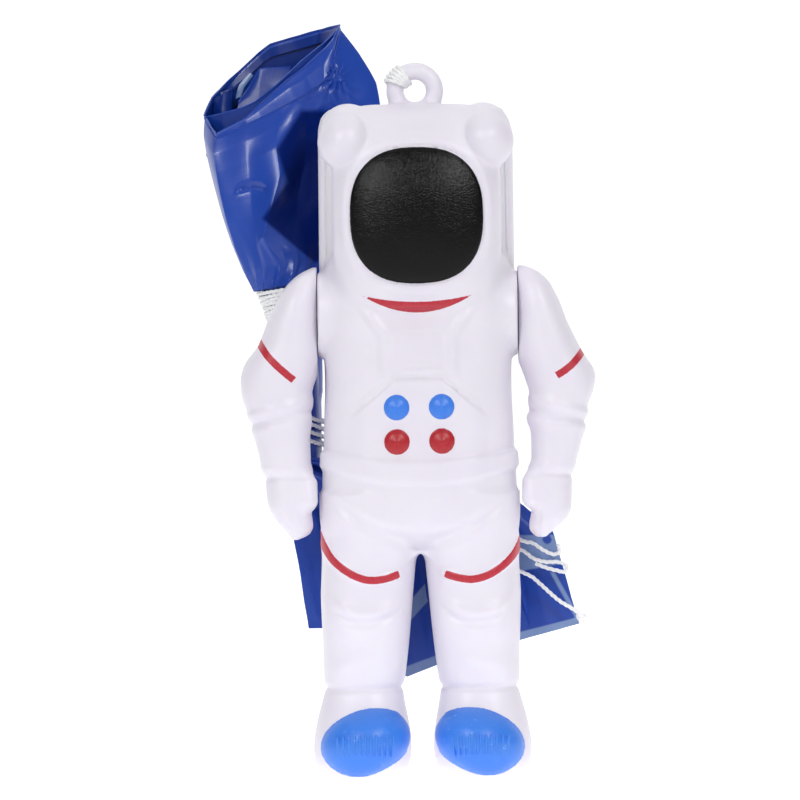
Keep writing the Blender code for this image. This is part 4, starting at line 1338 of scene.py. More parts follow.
@dataclass
class Threads:
    """The thread from the ring to the bundle, its two windings, the slack lines and the knots."""

    thread: bpy.types.Material
    radius: float = 0.27
    twist: float = 420.0
    spacing: float = 0.2
    hitch_turns: float = 5.0
    hitch_span: tuple = (119, 161)
    hitch_radius: float = 1.4
    neck: Winding = Winding((-17.2, 13.6), 65.85, 58.77, 4.75, 3.1, 14.25, 0, 1, 0.9)
    waist: Winding = Winding((-17.2, 12.6), 49.4, 45.2, 4.25, 4.25, 4, 90, -1, -2.0)
    corner_knot: tuple = ((21.9, 8.4, 20.0), 0.8)
    ring_knot: tuple = ((-3.45, -0.5, 92.75), 0.66)
    lead: Table = (
        (-2.75, 0.45, 91.4), (-2.75, 1.4, 90.6), (-2.6, 3.2, 90.15), (-2.4, 6.5, 90.0), (-2.4, 9.8, 90.05),
        (-2.6, 11.7, 89.2), (-3.0, 12.15, 87.4), (-4.0, 12.15, 82.0), (-6.0, 12.15, 76.0), (-8.6, 12.15, 70.5),
        (-11.0, 12.15, 67.2), (-12.1, 12.15, 65.7), (-12.43, 12.75, 64.95),
    )
    link: Table = (
        (-17.35, 16.75, 58.4), (-18.6, 17.3, 58.0), (-19.9, 17.3, 56.9), (-20.6, 17.2, 54.8),
        (-20.9, 17.3, 53.2), (-20.2, 17.5, 51.0),
    )
    slack: tuple = (
        ("upper", ((-10.0, 8.4, 37.8), (-6.0, 8.4, 37.4), (0.0, 8.4, 36.2), (6.0, 8.4, 34.2), (11.0, 8.3, 32.2),
                   (14.0, 8.2, 30.6), (15.4, 8.15, 30.25), (16.8, 8.1, 29.3), (18.2, 8.1, 28.7),
                   (19.0, 8.1, 29.1), (18.8, 8.15, 30.1))),
        ("middle", ((-10.5, 8.4, 35.8), (-6.0, 8.4, 35.0), (0.0, 8.4, 33.7), (6.0, 8.3, 32.0), (11.0, 8.2, 30.3),
                    (13.9, 8.15, 29.3), (15.4, 8.1, 28.2), (17.0, 8.1, 27.7), (18.8, 8.1, 27.65), (19.9, 8.1, 27.1),
                    (19.7, 8.1, 26.3), (18.6, 8.1, 26.5), (17.0, 8.1, 26.95), (15.7, 8.15, 27.5))),
        ("lower", ((-8.0, 8.4, 33.4), (0.0, 8.4, 31.9), (5.0, 8.3, 30.4), (10.0, 8.1, 27.9), (14.6, 8.1, 26.0),
                   (16.1, 8.1, 24.9), (17.6, 8.1, 23.5), (19.0, 8.1, 22.3), (20.8, 8.1, 21.2),
                   (21.6, 8.15, 20.6))),
    )

    def __post_init__(self) -> None:
        """Set up the spinner; its strands swell a little past its radius."""
        self.spinner = Spinner(self.thread, self.radius * MM * 0.95, self.twist)

    def hitch(self) -> np.ndarray:
        """Points of the turns round the ring.

        Returns:
            The points.
        """
        share = np.linspace(0, 1, int(self.hitch_turns * 50) + 1)
        first, last = self.hitch_span
        place = np.radians(first + (last - first) * share)
        around = np.radians(270 - 360 * self.hitch_turns * share)
        out = self.hitch_radius + 0.08 * np.sin(9 * share * math.pi)
        reach = RING_RADIUS + out * np.cos(around)
        x, y, z = RING_MIDDLE
        return np.stack([x + reach * np.cos(place), y - out * np.sin(around), z + reach * np.sin(place)], axis=1)

    def lay(self, name: str, route: np.ndarray, far_end: str, lay: str, node: str) -> None:
        """Spin a thread, hide the CAD node it stands for and fix it to the figure.

        Args:
            name: The piece's name.
            route: Its middle line in figure millimetres.
            far_end: What it ends in; not used.
            lay: How it lies; not used.
            node: The CAD node it replaces.
        """
        piece = self.spinner.spin(name, route)
        dress(piece, node=node)

    def knot(self, name: str, middle: Sequence[float], size: float, node: Optional[str] = None) -> None:
        """Tie a small knot: a trefoil of thread drawn up tight.

        Args:
            name: The piece's name.
            middle: Its middle.
            size: Its radius.
            node: A CAD node it replaces.
        """
        turn = np.linspace(0, 2 * math.pi, 73)
        loop = np.stack([np.sin(turn) + 2 * np.sin(2 * turn), -1.3 * np.sin(3 * turn),
                         np.cos(turn) - 2 * np.cos(2 * turn)], axis=1)
        piece = self.spinner.spin(name, np.array(middle) + loop * (size - self.radius) / 3.0)
        dress(piece, node=node)
        LOG.info("%s", name)

    def build(self) -> None:
        """Spin every thread and tie the knots."""
        turns = self.hitch()
        lead = flowing([tuple(turns[-1]), *self.lead], self.spacing)
        self.lay("lead_thread", np.vstack([turns[:-1], lead]), "object", "taut", "lead_line")
        self.lay("neck_winding_thread", self.neck.points(), "object", "coiled", "neck_winding")
        waist = self.waist.points()
        link = flowing([*self.link, tuple(waist[0])], self.spacing)
        self.lay("waist_winding_thread", np.vstack([link[:-1], waist]), "bare", "coiled", "waist_winding")
        for word, corners in self.slack:
            far_end = "knot" if word == "lower" else "bare"
            self.lay(f"loose_thread_{word}", flowing(corners, self.spacing), far_end, "loose", f"loose_line_{word}")
        self.knot("corner_knot_thread", *self.corner_knot, "corner_knot")
        self.knot("ring_knot_thread", *self.ring_knot)


def crumple(points: np.ndarray, seed: int, waves: int, length: float, size: float) -> np.ndarray:
    """Height of straight creases that cross each other, as in handled film.

    Args:
        points: Where to read it.
        seed: Picks the creases.
        waves: How many sets of creases.
        length: Distance between creases of one set.
        size: Height of one set.

    Returns:
        Heights in millimetres.
    """
    chance = np.random.default_rng(seed)
    height = np.zeros(len(points))
    for _ in range(waves):
        way = chance.normal(size=3)
        way /= np.linalg.norm(way)
        span = length * chance.uniform(0.6, 1.6)
        phase = (points @ way) / span + chance.uniform()
        height += size * chance.uniform(0.5, 1.0) * zigzag(phase)
    return height


def grid_faces(rows: int, columns: int, closed: bool, first: int = 0) -> list[tuple[int, int, int, int]]:
    """Quads between rows of points.

    Args:
        rows: How many rows.
        columns: Points a row.
        closed: Whether each row closes on itself.
        first: Number of the first point.

    Returns:
        The quads.
    """
    faces = []
    for row in range(rows - 1):
        for column in range(columns if closed else columns - 1):
            following = (column + 1) % columns
            low = first + row * columns
            faces.append((low + column, low + following, low + columns + following, low + columns + column))
    return faces


def eased(net: np.ndarray, count: int, closed: bool, softness: float) -> np.ndarray:
    """Read rows of points at more places along each row, part straight and part curved.

    Args:
        net: Points as rows, columns, 3.
        count: Columns wanted.
        closed: Whether the columns close on themselves.
        softness: 0 for straight lines, 1 for a smooth curve through the points.

    Returns:
        The finer net.
    """
    columns = net.shape[1]
    spots = np.linspace(0, columns if closed else columns - 1, count, endpoint=not closed)
    low = np.minimum(spots.astype(int), columns - 1 if closed else columns - 2)
    share = (spots - low)[None, :, None]
    pick = (lambda number: number % columns) if closed else (lambda number: np.clip(number, 0, columns - 1))
    before, start, end, after = (net[:, pick(low + step)] for step in (-1, 0, 1, 2))
    curved = through(before, start, end, after, share)
    return softness * curved + (1 - softness) * (start * (1 - share) + end * share)


def refine(corners: np.ndarray, rows: int, columns: int, closed: bool, across: float = 0.5,
           along: float = 0.5) -> np.ndarray:
    """Read a coarse net of points at a finer one.

    Args:
        corners: Points as rows, columns, 3.
        rows: Fine rows.
        columns: Fine columns.
        closed: Whether the columns close on themselves.
        across: Softness along each row.
        along: Softness from row to row.

    Returns:
        The finer net.
    """
    wide = eased(corners, columns, closed, across)
    return eased(wide.swapaxes(0, 1), rows, False, along).swapaxes(0, 1)


@dataclass
class Film:
    """The canopy: a square of film folded, rolled, wound at neck and waist, and open at both ends.

    Rows of the lip hold x, y and z, how far the wrap swells out below it, and 1 where it swells higher up.
    """

    film: bpy.types.Material
    side: float = 175.0
    points: list = field(default_factory=list)
    faces: list = field(default_factory=list)
    pale: list = field(default_factory=list)
    shade: list = field(default_factory=list)
    wrap_rows: int = 120
    wrap_columns: int = 260
    base_middle: tuple = (-17.5, 13.8, 65.95)
    base_tilt: float = 0.8
    base_radius: float = 4.75
    pucker: tuple = (-10.6, 94.6)
    dent: tuple = (-22.3, 79.6)
    lip: Table = (
        (-10.2, 17.3, 101.6, 6.9, 0.6, 1), (-13.2, 22.6, 101.7, 4.6, 2.2, 1), (-20.2, 25.0, 100.0, 1.0, 2.6, 0),
        (-23.4, 25.6, 97.4, -0.8, 2.6, 0), (-26.4, 25.0, 94.6, -2.0, 2.2, 0), (-28.3, 21.8, 92.4, -2.0, 1.0, 0),
        (-29.1, 17.6, 89.4, -1.6, 0.0, 0), (-27.3, 12.6, 86.2, -1.5, -1.1, 0), (-23.2, 12.9, 88.1, -0.3, -1.15, 0),
        (-19.0, 12.7, 90.1, 0.3, -0.6, 0), (-15.0, 12.7, 92.2, 1.0, 0.3, 0), (-12.4, 13.0, 94.0, 1.6, 1.0, 0),
        (-11.0, 14.2, 97.2, 3.6, 0.9, 1),
    )
    swells: Table = (
        (0.0, 0.0, 0.0), (0.12, 0.5, 0.2), (0.28, 0.85, 0.5), (0.45, 1.0, 0.78), (0.62, 0.95, 0.96),
        (0.78, 0.8, 0.8), (0.9, 0.55, 0.42), (1.0, 0.0, 0.0),
    )
    creases: Table = (
        (2, 9, -1.9, -0.8), (2, 10, -1.0, 0.6), (3, 9, -0.9, -1.5), (3, 10, -1.2, 1.6), (3, 11, 0.0, 0.8),
        (4, 9, 0.2, -1.5), (4, 10, -0.6, 2.2), (4, 11, 0.0, 1.4), (5, 9, -0.2, -1.2), (5, 10, -0.3, 1.8),
        (5, 11, 0.0, 1.2), (6, 9, 0.0, -0.5), (6, 10, 0.0, 0.8),
    )
    lip_steps: Table = (
        (0.0, 0.4), (-0.2, 0.0), (0.0, 0.0), (0.0, 0.0), (0.3, 0.0), (0.6, 0.0), (0.8, 0.4), (0.5, 0.7),
        (0.8, 1.1), (1.1, 3.0), (1.4, 4.2), (1.6, 4.6), (1.2, 3.2),
    )
    rim: Table = (
        (-29.0, 17.6, 89.5), (-26.5, 15.7, 89.9), (-24.0, 15.0, 90.5), (-21.9, 14.7, 91.4), (-18.9, 14.5, 93.7),
        (-15.5, 14.8, 96.9), (-12.5, 15.2, 99.3), (-10.6, 16.6, 101.2),
    )
    mouth_flap: tuple = (
        ((-25.0, 17.4, 88.0), (-21.5, 17.2, 89.0), (-17.5, 17.2, 90.5)),
        ((-24.4, 18.4, 91.6), (-21.6, 18.0, 92.9), (-17.6, 17.6, 94.2)),
        ((-23.3, 19.0, 93.2), (-21.4, 18.6, 96.2), (-17.1, 18.2, 96.4)),
    )
    mouth_strip: tuple = (
        ((-24.9, 20.6, 92.3), (-24.5, 20.0, 92.4), (-24.1, 20.2, 92.5), (-24.2, 20.9, 92.5)),
        ((-24.4, 20.8, 94.2), (-24.0, 20.0, 94.1), (-23.6, 20.2, 93.9), (-23.7, 20.9, 93.9)),
        ((-22.9, 21.4, 95.9), (-22.7, 20.7, 95.8), (-22.4, 20.9, 95.5), (-22.5, 21.4, 95.6)),
    )
    mouth_roll: tuple = (
        ((-27.9, 20.6, 88.0), (-26.6, 19.4, 88.0), (-25.0, 20.2, 88.4), (-25.6, 22.4, 88.6), (-27.0, 22.6, 88.4)),
        ((-28.0, 20.9, 90.6), (-26.9, 19.6, 90.6), (-25.4, 20.4, 91.0), (-25.9, 22.6, 91.4), (-27.2, 22.8, 91.2)),
        ((-27.9, 21.2, 92.4), (-26.7, 20.0, 92.9), (-25.3, 20.8, 93.7), (-25.7, 22.9, 93.9), (-27.0, 23.1, 93.4)),
    )
    gather_rows: Table = (
        (66.6, -17.4, 13.8, 4.6, 0.1), (65.6, -17.3, 13.7, 4.3, 0.1), (64.6, -17.2, 13.6, 3.85, 0.1),
        (63.0, -17.2, 13.6, 3.3, 0.1), (61.5, -17.2, 13.6, 2.95, 0.1), (58.7, -17.2, 13.6, 2.8, 0.1),
        (57.0, -17.3, 13.3, 4.1, 0.25), (53.0, -17.5, 13.1, 4.4, 0.2), (51.4, -17.45, 12.9, 4.35, 0.12),
        (49.8, -17.25, 12.65, 3.95, 0.06), (48.0, -17.2, 12.6, 3.92, 0.04), (45.4, -17.2, 12.6, 3.9, 0.04),
        (43.2, -17.2, 12.6, 3.92, 0.04), (41.6, -17.5, 12.5, 4.2, 0.2),
    )
    core_rows: Table = (
        (65.0, -17.2, 13.6, 3.7), (61.5, -17.2, 13.6, 2.7), (58.7, -17.2, 13.6, 2.6), (53.0, -17.5, 13.1, 3.9),
        (47.8, -17.7, 12.6, 3.2), (42.4, -17.75, 12.6, 3.2),
    )
    skirt_left: Table = (
        (0, -20.6, 42.2), (0.12, -19.7, 39.0), (0.3, -17.8, 34.0), (0.55, -16.6, 28.0), (0.8, -15.9, 22.5),
        (1, -15.3, 18.95),
    )
    skirt_right: Table = (
        (0, -14.9, 42.2), (0.12, 3.0, 40.2), (0.3, 14.0, 35.6), (0.41, 18.3, 31.7), (0.5, 19.0, 28.8),
        (0.7, 20.1, 24.6), (1, 21.7, 19.1),
    )
    hem_drops: Table = ((-1, 0), (-0.86, 0), (-0.8, 0.4), (-0.5, 4.6), (-0.28, 6.9), (0.0, 5.0), (0.56, 2.2), (1.0, 0))
    skirt_plies: Table = ((10.0, 51, 0.0), (10.9, 52, 0.55), (11.7, 53, 0.55), (12.5, 54, 0.55), (13.4, 55, 0.0))
    shade_line: Table = ((69.0, -14.0), (75.0, -21.0), (80.0, -17.6), (84.5, -19.0), (90.0, -15.6))

    def keep(self, net: np.ndarray, closed: bool, pale: Optional[np.ndarray] = None, shade: float = FAR) -> None:
        """Add a net of points to the film.

        Args:
            net: Points as rows, columns, 3.
            closed: Whether the columns close on themselves.
            pale: Distances to the pale places and the painted highlights, as rows, columns.
            shade: 5 for open film, about 0 where it is half in its own shade and gets a painted shade.
        """
        rows, columns = net.shape[:2]
        first = sum(len(part) for part in self.points)
        self.points.append(net.reshape(-1, 3))
        self.faces.extend(grid_faces(rows, columns, closed, first))
        self.pale.append(np.full(rows * columns, FAR) if pale is None else pale.reshape(-1))
        self.shade.append(np.full(rows * columns, shade))

    def creased(self, net: np.ndarray, seed: int, size: float, closed: bool, length: float = 7.0) -> np.ndarray:
        """Push creases into a net along its own normals.

        Args:
            net: The net.
            seed: Picks the creases.
            size: Their height.
            closed: Whether the columns close on themselves.
            length: Distance between creases.

        Returns:
            The creased net.
        """
        if closed:
            across = np.roll(net, -1, axis=1) - np.roll(net, 1, axis=1)
        else:
            across = np.gradient(net, axis=1)
        height = crumple(net.reshape(-1, 3), seed, 4, length, size).reshape(net.shape[:2])
        return net + unit(np.cross(across, np.gradient(net, axis=0))) * height[..., None]

    def wrap_net(self) -> np.ndarray:
        """The outer wrap before its small creases, from its round base to the lip.

        Returns:
            The net, as rows, columns, 3.
        """
        angle = 2 * math.pi * np.arange(len(self.lip)) / len(self.lip)
        base = np.array(self.base_middle) + np.stack([
            self.base_radius * np.cos(angle), self.base_radius * np.sin(angle), self.base_tilt * np.cos(angle)], axis=1)
        lip = np.array(self.lip)
        rows = []
        for share, early, late in self.swells:
            row = base * (1 - share) + lip[:, :3] * share
            row[:, :2] += lip[:, 3:5] * np.where(lip[:, 5:] > 0, late, early)
            rows.append(row)
        corners = np.array(rows)
        for row, column, across, back in self.creases:
            corners[row, column, :2] += (across, back)
        # The wrap lies behind the figure's pack, and nearer where it is beside it
        pack = np.interp(corners[1:, :, 0], (-14.8, -13.5), (8.0, 12.75))
        corners[1:, :, 1] = np.maximum(corners[1:, :, 1], pack)
        return corners

    def crown(self) -> None:
        """The outer wrap from its round base to the lip, over the folded band and down into the mouth."""
        corners = self.wrap_net()
        wrap = refine(corners, self.wrap_rows, self.wrap_columns, True, 0.4, 0.45)
        self.wrap = wrap.copy()
        x, z = wrap[..., 0], wrap[..., 2]
        facing = smooth_step(15.5, 13.5, wrap[..., 1])
        off_x = x - self.dent[0]
        arc = (z - self.dent[1]) + 0.16 * off_x ** 2
        wrap[..., 1] += 0.45 * facing * ridge(arc, 0.45) * smooth_step(2.6, 1.2, np.abs(off_x))
        off_x, off_z = x - self.pucker[0], z - self.pucker[1]
        away = np.hypot(off_x, off_z)
        ray = zigzag(np.arctan2(off_z, off_x) * 11 / (2 * math.pi) + 0.3 * np.sin(away))
        wrap[..., 1] -= 0.42 * facing * ray * np.minimum(away / 1.5, 1) * np.exp(-away / 3.6)
        turn = np.linspace(0, 19, self.wrap_columns, endpoint=False)[None, :]
        out = wrap - wrap.mean(axis=1, keepdims=True)
        out[..., 2] = 0
        pleat = zigzag(turn + 0.35 * np.sin(z / 2.3)) * np.exp(-(z - 66.2) / 3.2)
        wrap += unit(out) * (0.26 * pleat)[..., None]
        self.keep(self.creased(wrap, 11, 0.022, True, 12.0), True)
        self.band(wrap, corners[-1])

    def band(self, wrap: np.ndarray, edge: np.ndarray) -> None:
        """The ply that is folded over the lip and goes down inside the wrap.

        Args:
            wrap: The outer wrap.
            edge: The lip's corners.
        """
        steps = np.array(self.lip_steps)
        inner = edge + np.stack([0 * steps[:, 0], steps[:, 0], steps[:, 1]], axis=1)
        rows = [edge, edge * 0.5 + inner * 0.5 + (0.0, -0.25, 0.25), inner,
                inner + (inner.mean(axis=0) - inner) * 0.05 - (0.0, 0.0, 1.5)]
        for row, size in ((112, 0.95), (96, 0.94), (76, 0.93), (50, 0.92)):
            ring = self.wrap[row, ::self.wrap_columns // len(self.lip)]
            rows.append(ring.mean(axis=0) + (ring - ring.mean(axis=0)) * size)
        band = refine(np.array(rows), 60, self.wrap_columns, True, 0.25, 0.5)
        band = self.creased(band, 12, 0.05, True, 5.0)
        lit = 20
        self.keep(band[:lit], True)
        # Every second row is enough down in the mouth, and these rows get a painted shade
        self.keep(band[lit - 1::2], True, None, -0.1)
        for line in (wrap[-1], band[15]):
            self.edge_roll(line, 0.13, True)

    def edge_roll(self, line: np.ndarray, radius: float, closed: bool) -> None:
        """The round edge that a folded film keeps, as a thin roll along the fold.

        Args:
            line: The fold.
            radius: Radius of the roll.
            closed: Whether the fold closes on itself.
        """
        along = unit(np.roll(line, -1, axis=0) - np.roll(line, 1, axis=0) if closed else np.gradient(line, axis=0))
        side = unit(np.cross(along, (0.0, 0.0, 1.0)))
        lift = np.cross(side, along)
        rows = [line + radius * (math.cos(turn) * side + math.sin(turn) * lift)
                for turn in np.linspace(0, 2 * math.pi, 8)]
        self.keep(np.array(rows), closed)

    def rolls(self) -> None:
        """The rolled layers inside the wrap, whose ends show in its mouth."""
        turns, columns = 5.5, 340
        picked = self.wrap[np.linspace(1, 108, 20).astype(int)]
        count = picked.shape[1]
        middle = picked.mean(axis=1, keepdims=True)
        middle[..., 2] = 0
        part = np.linspace(0, 1, columns)
        place = 0.47 * count + part * turns * count
        low = np.floor(place).astype(int)
        share = (place - low)[None, :, None]
        around = picked[:, low % count] * (1 - share) + picked[:, (low + 1) % count] * share
        for ply in (0.0, 0.035):
            size = (0.93 - ply - 0.62 * part)[None, :, None]
            net = middle + (around - middle) * size
            net[..., 2] = around[..., 2] * (0.2 + 0.8 * size[..., 0]) + 80 * 0.8 * (1 - size[..., 0])
            # The rolled layers get a painted shade
            self.keep(self.creased(net, 21, 0.12, False, 5.0), False, None, -0.1)

    def flaps(self) -> None:
        """The folded rim behind the front lip, and the corner, strip and roll that stand in the mouth."""
        rim = np.array(self.rim)
        ply = np.array([rim + (0.0, 0.5, -5.4), rim, rim + (0.0, 0.4, -0.05), rim + (0.0, 1.3, -4.2)])
        ply = refine(ply, 40, 72, False, 0.3, 0.1)
        # The rim ply, the corner flap and the roll get a painted shade
        self.keep(self.creased(ply, 32, 0.05, False), False, None, 0.05)
        self.edge_roll(ply[14], 0.14, False)
        flap = refine(np.array(self.mouth_flap), 30, 30, False, 0.1, 0.1)
        self.keep(self.creased(flap, 31, 0.05, False), False, None, 0.0)
        for line in (flap[-1], flap[15:, 0]):
            self.edge_roll(line, 0.1, False)
        curl = refine(np.array(self.mouth_strip), 24, 40, False)
        # The curled strip is painted pale as a highlight
        self.keep(curl, False, np.full(curl.shape[:2], -1.0))
        roll = refine(np.array(self.mouth_roll), 24, 50, False)
        self.keep(self.creased(roll, 33, 0.08, False), False, None, -0.15)

    def gathers(self) -> None:
        """The film drawn up under the two windings and between them, and the rolled core inside."""
        columns = 150
        angle = np.linspace(0, 2 * math.pi, columns, endpoint=False)
        rows = []
        for z, x, y, radius, pleat in self.gather_rows:
            fold = pleat * zigzag((angle * 9 / math.pi + 0.3 * math.sin(z)) / 2)
            reach = radius + fold + 0.5 * pleat * np.sin(5 * angle + z * 0.2) - pleat * 0.3
            rows.append(np.stack([x + reach * np.cos(angle), y + reach * np.sin(angle), np.full(columns, z)], axis=1))
        net = eased(np.array(rows).swapaxes(0, 1), 40, False, 0.0).swapaxes(0, 1)
        self.keep(self.creased(net, 41, 0.035, True, 6.0), True)
        angle = np.linspace(0, 2 * math.pi * 9, 324)
        for ply in (0.0, 0.05):
            size = (0.88 - ply) - 0.7 * angle / angle[-1]
            rows = [np.stack([x + radius * size * np.cos(angle), y + radius * size * np.sin(angle),
                              np.full_like(angle, z)], axis=1) for z, x, y, radius in self.core_rows]
            self.keep(refine(np.array(rows), 10, len(angle), False), False)

    def skirt(self) -> None:
        """The spread film under the waist winding: five plies with pleats that fan out from it."""
        rows, columns, hidden_rows = 60, 150, 24
        across = np.linspace(-1, 1, columns)[None, :]
        down = np.linspace(0, 1, rows)[:, None]
        left, left_z = read_table(self.skirt_left, down)
        right, right_z = read_table(self.skirt_right, down)
        hem, = read_table(self.hem_drops, across)
        share = (across + 1) / 2
        x = left * (1 - share) + right * share
        z = left_z * (1 - share) + right_z * share - hem * down ** 1.6
        for ply, (base, seed, depth) in enumerate(self.skirt_plies):
            fan = zigzag((across * (3.2 + 0.4 * ply) + 0.25 + 0.5 * ply) / 2)
            fine = zigzag((across * 9.0 + 0.8 * ply) / 2)
            pleat = fan * (0.55 * (1 - down) + 0.3) + fine * 0.22 * (1 - down * 0.6)
            pleat = pleat + depth * zigzag(across * 13.0) * np.minimum(1, 3 * down)
            neck_y = 12.5 + (base - 11.0) * 2.2
            y = neck_y * (1 - down) ** 2 + base * (1 - (1 - down) ** 2) + 1.0 * np.sin(2.4 * across + 0.6) * down
            y = np.maximum(y + pleat, 9.0 + 1.2 * ply)
            net = self.creased(np.stack([x, y, z], axis=2), seed, 0.14, False, 9.0)
            if ply == 0:
                self.keep(net, False, self.skirt_pale_and_highlight(x, z, down))
            else:
                self.keep(net[np.linspace(0, rows - 1, hidden_rows).astype(int)], False)

    def skirt_pale_and_highlight(self, x: np.ndarray, z: np.ndarray, down: np.ndarray) -> np.ndarray:
        """Distance to the places where a single ply of the skirt shows pale, and to a painted highlight streak.

        Args:
            x: Across, in figure millimetres.
            z: Up.
            down: How far down the skirt each row is, from 0 to 1.

        Returns:
            Distances in millimetres, below 0 on a pale place or on the painted highlight.
        """
        hem_band = (1 - down) * 24.0 - 1.15 + 3 * smooth_step(-8.0, -12.0, x)
        stripe = np.maximum(np.abs((z - 22.9) - 1.05 * (x - 0.2)) * 0.69 - 0.95, np.abs(x) - 4.5)
        corner = np.maximum(np.maximum(13.0 - x, z - 31.3), 26.4 + 0.18 * (x - 14.0) - z)
        corner = np.maximum(corner, 0.65 - np.hypot(x - 17.4, z - 30.7))
        # A painted highlight streak
        glint = np.maximum(np.abs((x - 17.9) - 0.54 * (26.5 - z)) * 0.88 - 0.28, z - 26.2)
        return np.minimum(np.minimum(hem_band, stripe), np.minimum(corner, glint))

    def build(self) -> None:
        """Build the film as one sheet."""
        for part in (self.crown, self.rolls, self.flaps, self.gathers, self.skirt):
            part()
        points = np.concatenate(self.points)
        piece = mesh_piece("film_canopy", points, self.faces, self.film, False)
        store(piece, "pale_and_highlight_edge", np.concatenate(self.pale))
        x, y, z = points.T
        # Painted shade on the facet beside the pack and helmet, which they keep from the right lamp, and in the mouth's
        # inside plies
        crease, = read_table(self.shade_line, z)
        shaded_facet = np.maximum(np.maximum(crease - x, z - 90.0), np.maximum(69.0 - z, y - 16.0))
        store(piece, "painted_shade_edge", np.minimum(shaded_facet, np.concatenate(self.shade)))
        piece.data.shade_smooth()
        piece.data.set_sharp_from_angle(angle=math.radians(24))
        dress(piece, node="canopy")
        area = sum(face.area for face in piece.data.polygons) / MM ** 2
        LOG.info("film_canopy: %d faces, %.0f square millimetres", len(piece.data.polygons), area)


@dataclass
class Studio:
    """Camera at the photograph's angle, pale paper, and soft lights."""

    paper: bpy.types.Material
    distance: float = 550.0
    picture_width: float = 107.52
    look_x: float = -2.486
    look_z: float = 50.0
    roll: float = 0.7

    def camera(self) -> bpy.types.Object:
        """Set up the camera."""
        data = bpy.data.cameras.new("camera")
        data.sensor_width = 36.0
        data.lens = 36.0 * self.distance / self.picture_width
        data.clip_start = 0.01
        data.clip_end = 20.0
        made = bpy.data.objects.new("camera", data)
        bpy.context.scene.collection.objects.link(made)
        lean = math.radians(self.roll)
        right = Vector((math.cos(lean), 0.0, -math.sin(lean)))
        up = Vector((math.sin(lean), 0.0, math.cos(lean)))
        back = Vector((0.0, -1.0, 0.0))
        turned = Matrix((right, up, back)).transposed().to_4x4()
        place = world(np.array([[self.look_x, -self.distance, self.look_z]]))[0]
        made.matrix_world = Matrix.Translation(Vector(place)) @ turned
        bpy.context.scene.camera = made
        return made

    def backdrop(self) -> None:
        """Lay the paper: flat under the toy, curving up far behind it."""
        profile = [(-1.6, 0.0), (0.9, 0.0)]
        for step in range(1, 13):
            angle = math.radians(90 * step / 12)
            profile.append((0.9 + 0.5 * math.sin(angle), 0.5 * (1 - math.cos(angle))))
        profile.append((1.4, 2.2))
        points = [(x, y, z) for y, z in profile for x in (-2.4, 2.4)]
        faces = [(i, i + 1, i + 3, i + 2) for i in range(0, len(points) - 2, 2)]
        mesh = bpy.data.meshes.new("paper")
        mesh.from_pydata(points, [], faces)
        mesh.shade_smooth()
        mesh.materials.append(self.paper)
        made = bpy.data.objects.new("paper", mesh)
        bpy.context.scene.collection.objects.link(made)

    def lamp(self, name: str, place: Sequence[float], size: Sequence[float], power: float) -> None:
        """Hang one softbox that points at the toy.

        Args:
            name: The lamp's name.
            place: Where it hangs, in metres.
            size: Its width and height.
            power: Its watts.
        """
        data = bpy.data.lights.new(name, 'AREA')
        data.shape = 'RECTANGLE'
        data.size, data.size_y = size
        data.energy = power
        made = bpy.data.objects.new(name, data)
        bpy.context.scene.collection.objects.link(made)
        aim = Vector((0.0, 0.0, 0.05)) - Vector(place)
        made.rotation_euler = aim.to_track_quat('-Z', 'Y').to_euler()
        made.location = place

    def build(self) -> None:
        """Set up the lights and the paper."""
        self.backdrop()
        self.lamp("softbox_left", (-0.41, -0.76, 0.47), (0.24, 0.24), 2.75)
        self.lamp("softbox_right", (0.40, -0.74, 0.54), (0.24, 0.24), 3.0)
        self.lamp("softbox_top", (0.0, 0.1, 0.9), (1.2, 0.9), 2.9)
        surroundings = bpy.data.worlds.new("studio")
        surroundings.use_nodes = True
        glow = surroundings.node_tree.nodes["Background"]
        glow.inputs["Color"].default_value = (1.0, 1.0, 1.0, 1.0)
        glow.inputs["Strength"].default_value = 0.15
        bpy.context.scene.world = surroundings
        bpy.context.scene.view_settings.view_transform = 'Standard'


RIGHT_ARM = (
    (31.5, 16.2, 17.2, 4.2, -0.9), (32.0, 14.6, 17.3, 4.9, -0.1), (33.3, 14.25, 18.7, 5.4, 0.7),
    (34.9, 14.5, 19.8, 5.6, 1.0), (36.0, 14.4, 20.35, 5.6, 1.1), (38.3, 14.2, 20.6, 5.5, 1.3),
    (39.7, 14.1, 20.6, 5.4, 1.4), (41.0, 14.5, 21.1, 5.5, 1.6), (44.0, 14.6, 21.8, 5.6, 2.4),
    (46.9, 14.55, 22.5, 5.6, 3.1), (48.7, 14.05, 23.0, 5.6, 3.7), (50.1, 14.35, 23.6, 5.6, 4.1),
    (51.5, 14.25, 23.85, 5.6, 4.4), (53.4, 13.55, 23.85, 5.6, 4.8), (55.3, 13.1, 23.2, 5.6, 5.1),
    (57.3, 13.0, 21.5, 5.6, 5.3), (61.1, 13.0, 20.0, 5.6, 5.5), (63.6, 13.0, 18.8, 5.4, 5.4),
    (65.4, 13.0, 17.7, 4.7, 4.7), (66.8, 13.0, 16.3, 3.6, 3.6), (67.6, 13.0, 15.0, 2.2, 2.2),
    (67.9, 13.0, 14.1, 1.0, 1.0),
)
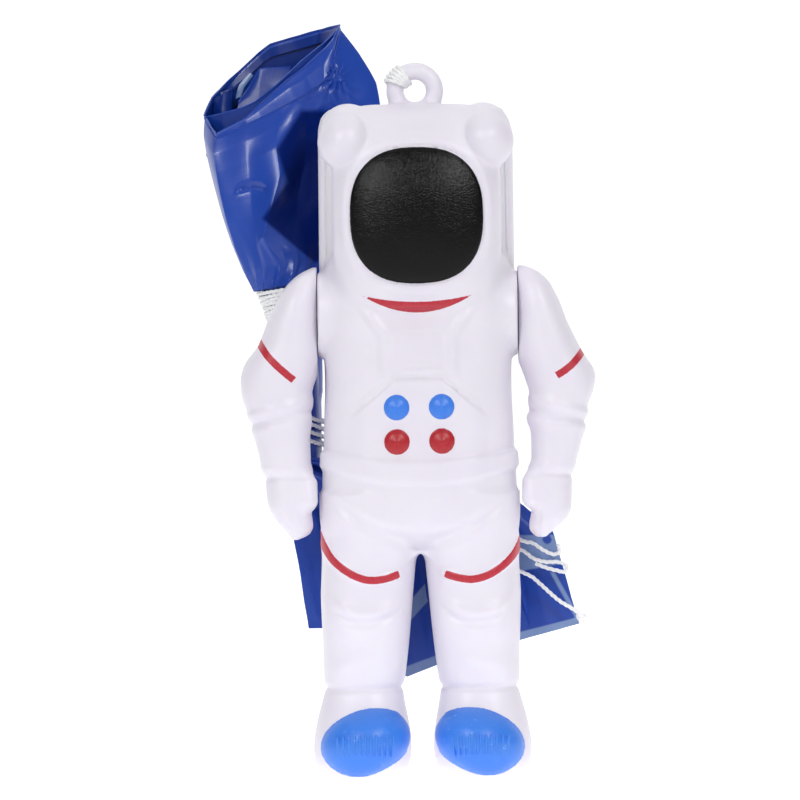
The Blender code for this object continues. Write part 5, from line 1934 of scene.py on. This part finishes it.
LEFT_ARM = (
    (31.5, 15.6, 16.8, 4.2, -0.9), (32.0, 14.7, 17.4, 4.9, -0.1), (33.0, 14.5, 18.6, 5.4, 0.6),
    (34.2, 14.8, 19.9, 5.6, 0.9), (35.2, 15.0, 20.3, 5.6, 1.1), (37.7, 14.5, 20.4, 5.5, 1.3),
    (39.9, 14.3, 20.45, 5.4, 1.4), (41.6, 15.0, 21.0, 5.5, 1.6), (44.5, 15.0, 21.85, 5.6, 2.4),
    (46.2, 14.95, 22.3, 5.6, 3.0), (47.6, 14.4, 22.5, 5.6, 3.5), (49.0, 14.7, 22.6, 5.6, 3.9),
    (50.6, 15.0, 23.4, 5.6, 4.2), (52.8, 14.3, 23.9, 5.6, 4.7), (54.2, 13.8, 23.5, 5.6, 5.0),
    (56.0, 13.1, 22.2, 5.6, 5.2), (57.6, 13.0, 21.4, 5.6, 5.3), (60.3, 13.0, 20.1, 5.6, 5.5),
    (63.1, 13.0, 19.1, 5.4, 5.4), (65.7, 13.0, 17.8, 4.6, 4.6), (67.0, 13.0, 16.5, 3.4, 3.4),
    (67.6, 13.0, 15.6, 2.2, 2.2), (67.9, 13.0, 14.3, 1.0, 1.0),
)
RIGHT_STRIPE = ((-21.9, 59.2), (-21.2, 57.8), (-20.5, 56.7), (-19.85, 55.8), (-18.3, 54.25), (-16.6, 52.8))
LEFT_STRIPE = ((22.9, 57.4), (21.9, 56.1), (21.15, 55.2), (20.4, 54.4), (19.5, 53.7), (18.4, 53.0))


def main() -> None:
    """Build the studio, the threads, the film and the figure, in that order."""
    logging.basicConfig(level=logging.INFO, format="%(message)s")
    studio = Studio(StudioPaper().build("studio_paper"))
    studio.camera()
    Threads(TwistedThread().build("spun_thread")).build()
    Film(GlossFilm().build("gloss_film")).build()
    plastic = MouldedPlastic().build("moulded_plastic")
    Body(plastic).build()
    Arm(plastic, Side.RIGHT, RIGHT_ARM, RIGHT_STRIPE).build()
    Arm(plastic, Side.LEFT, LEFT_ARM, LEFT_STRIPE).build()
    studio.build()
    bpy.context.view_layer.update()


if __name__ == "__main__":
    main()
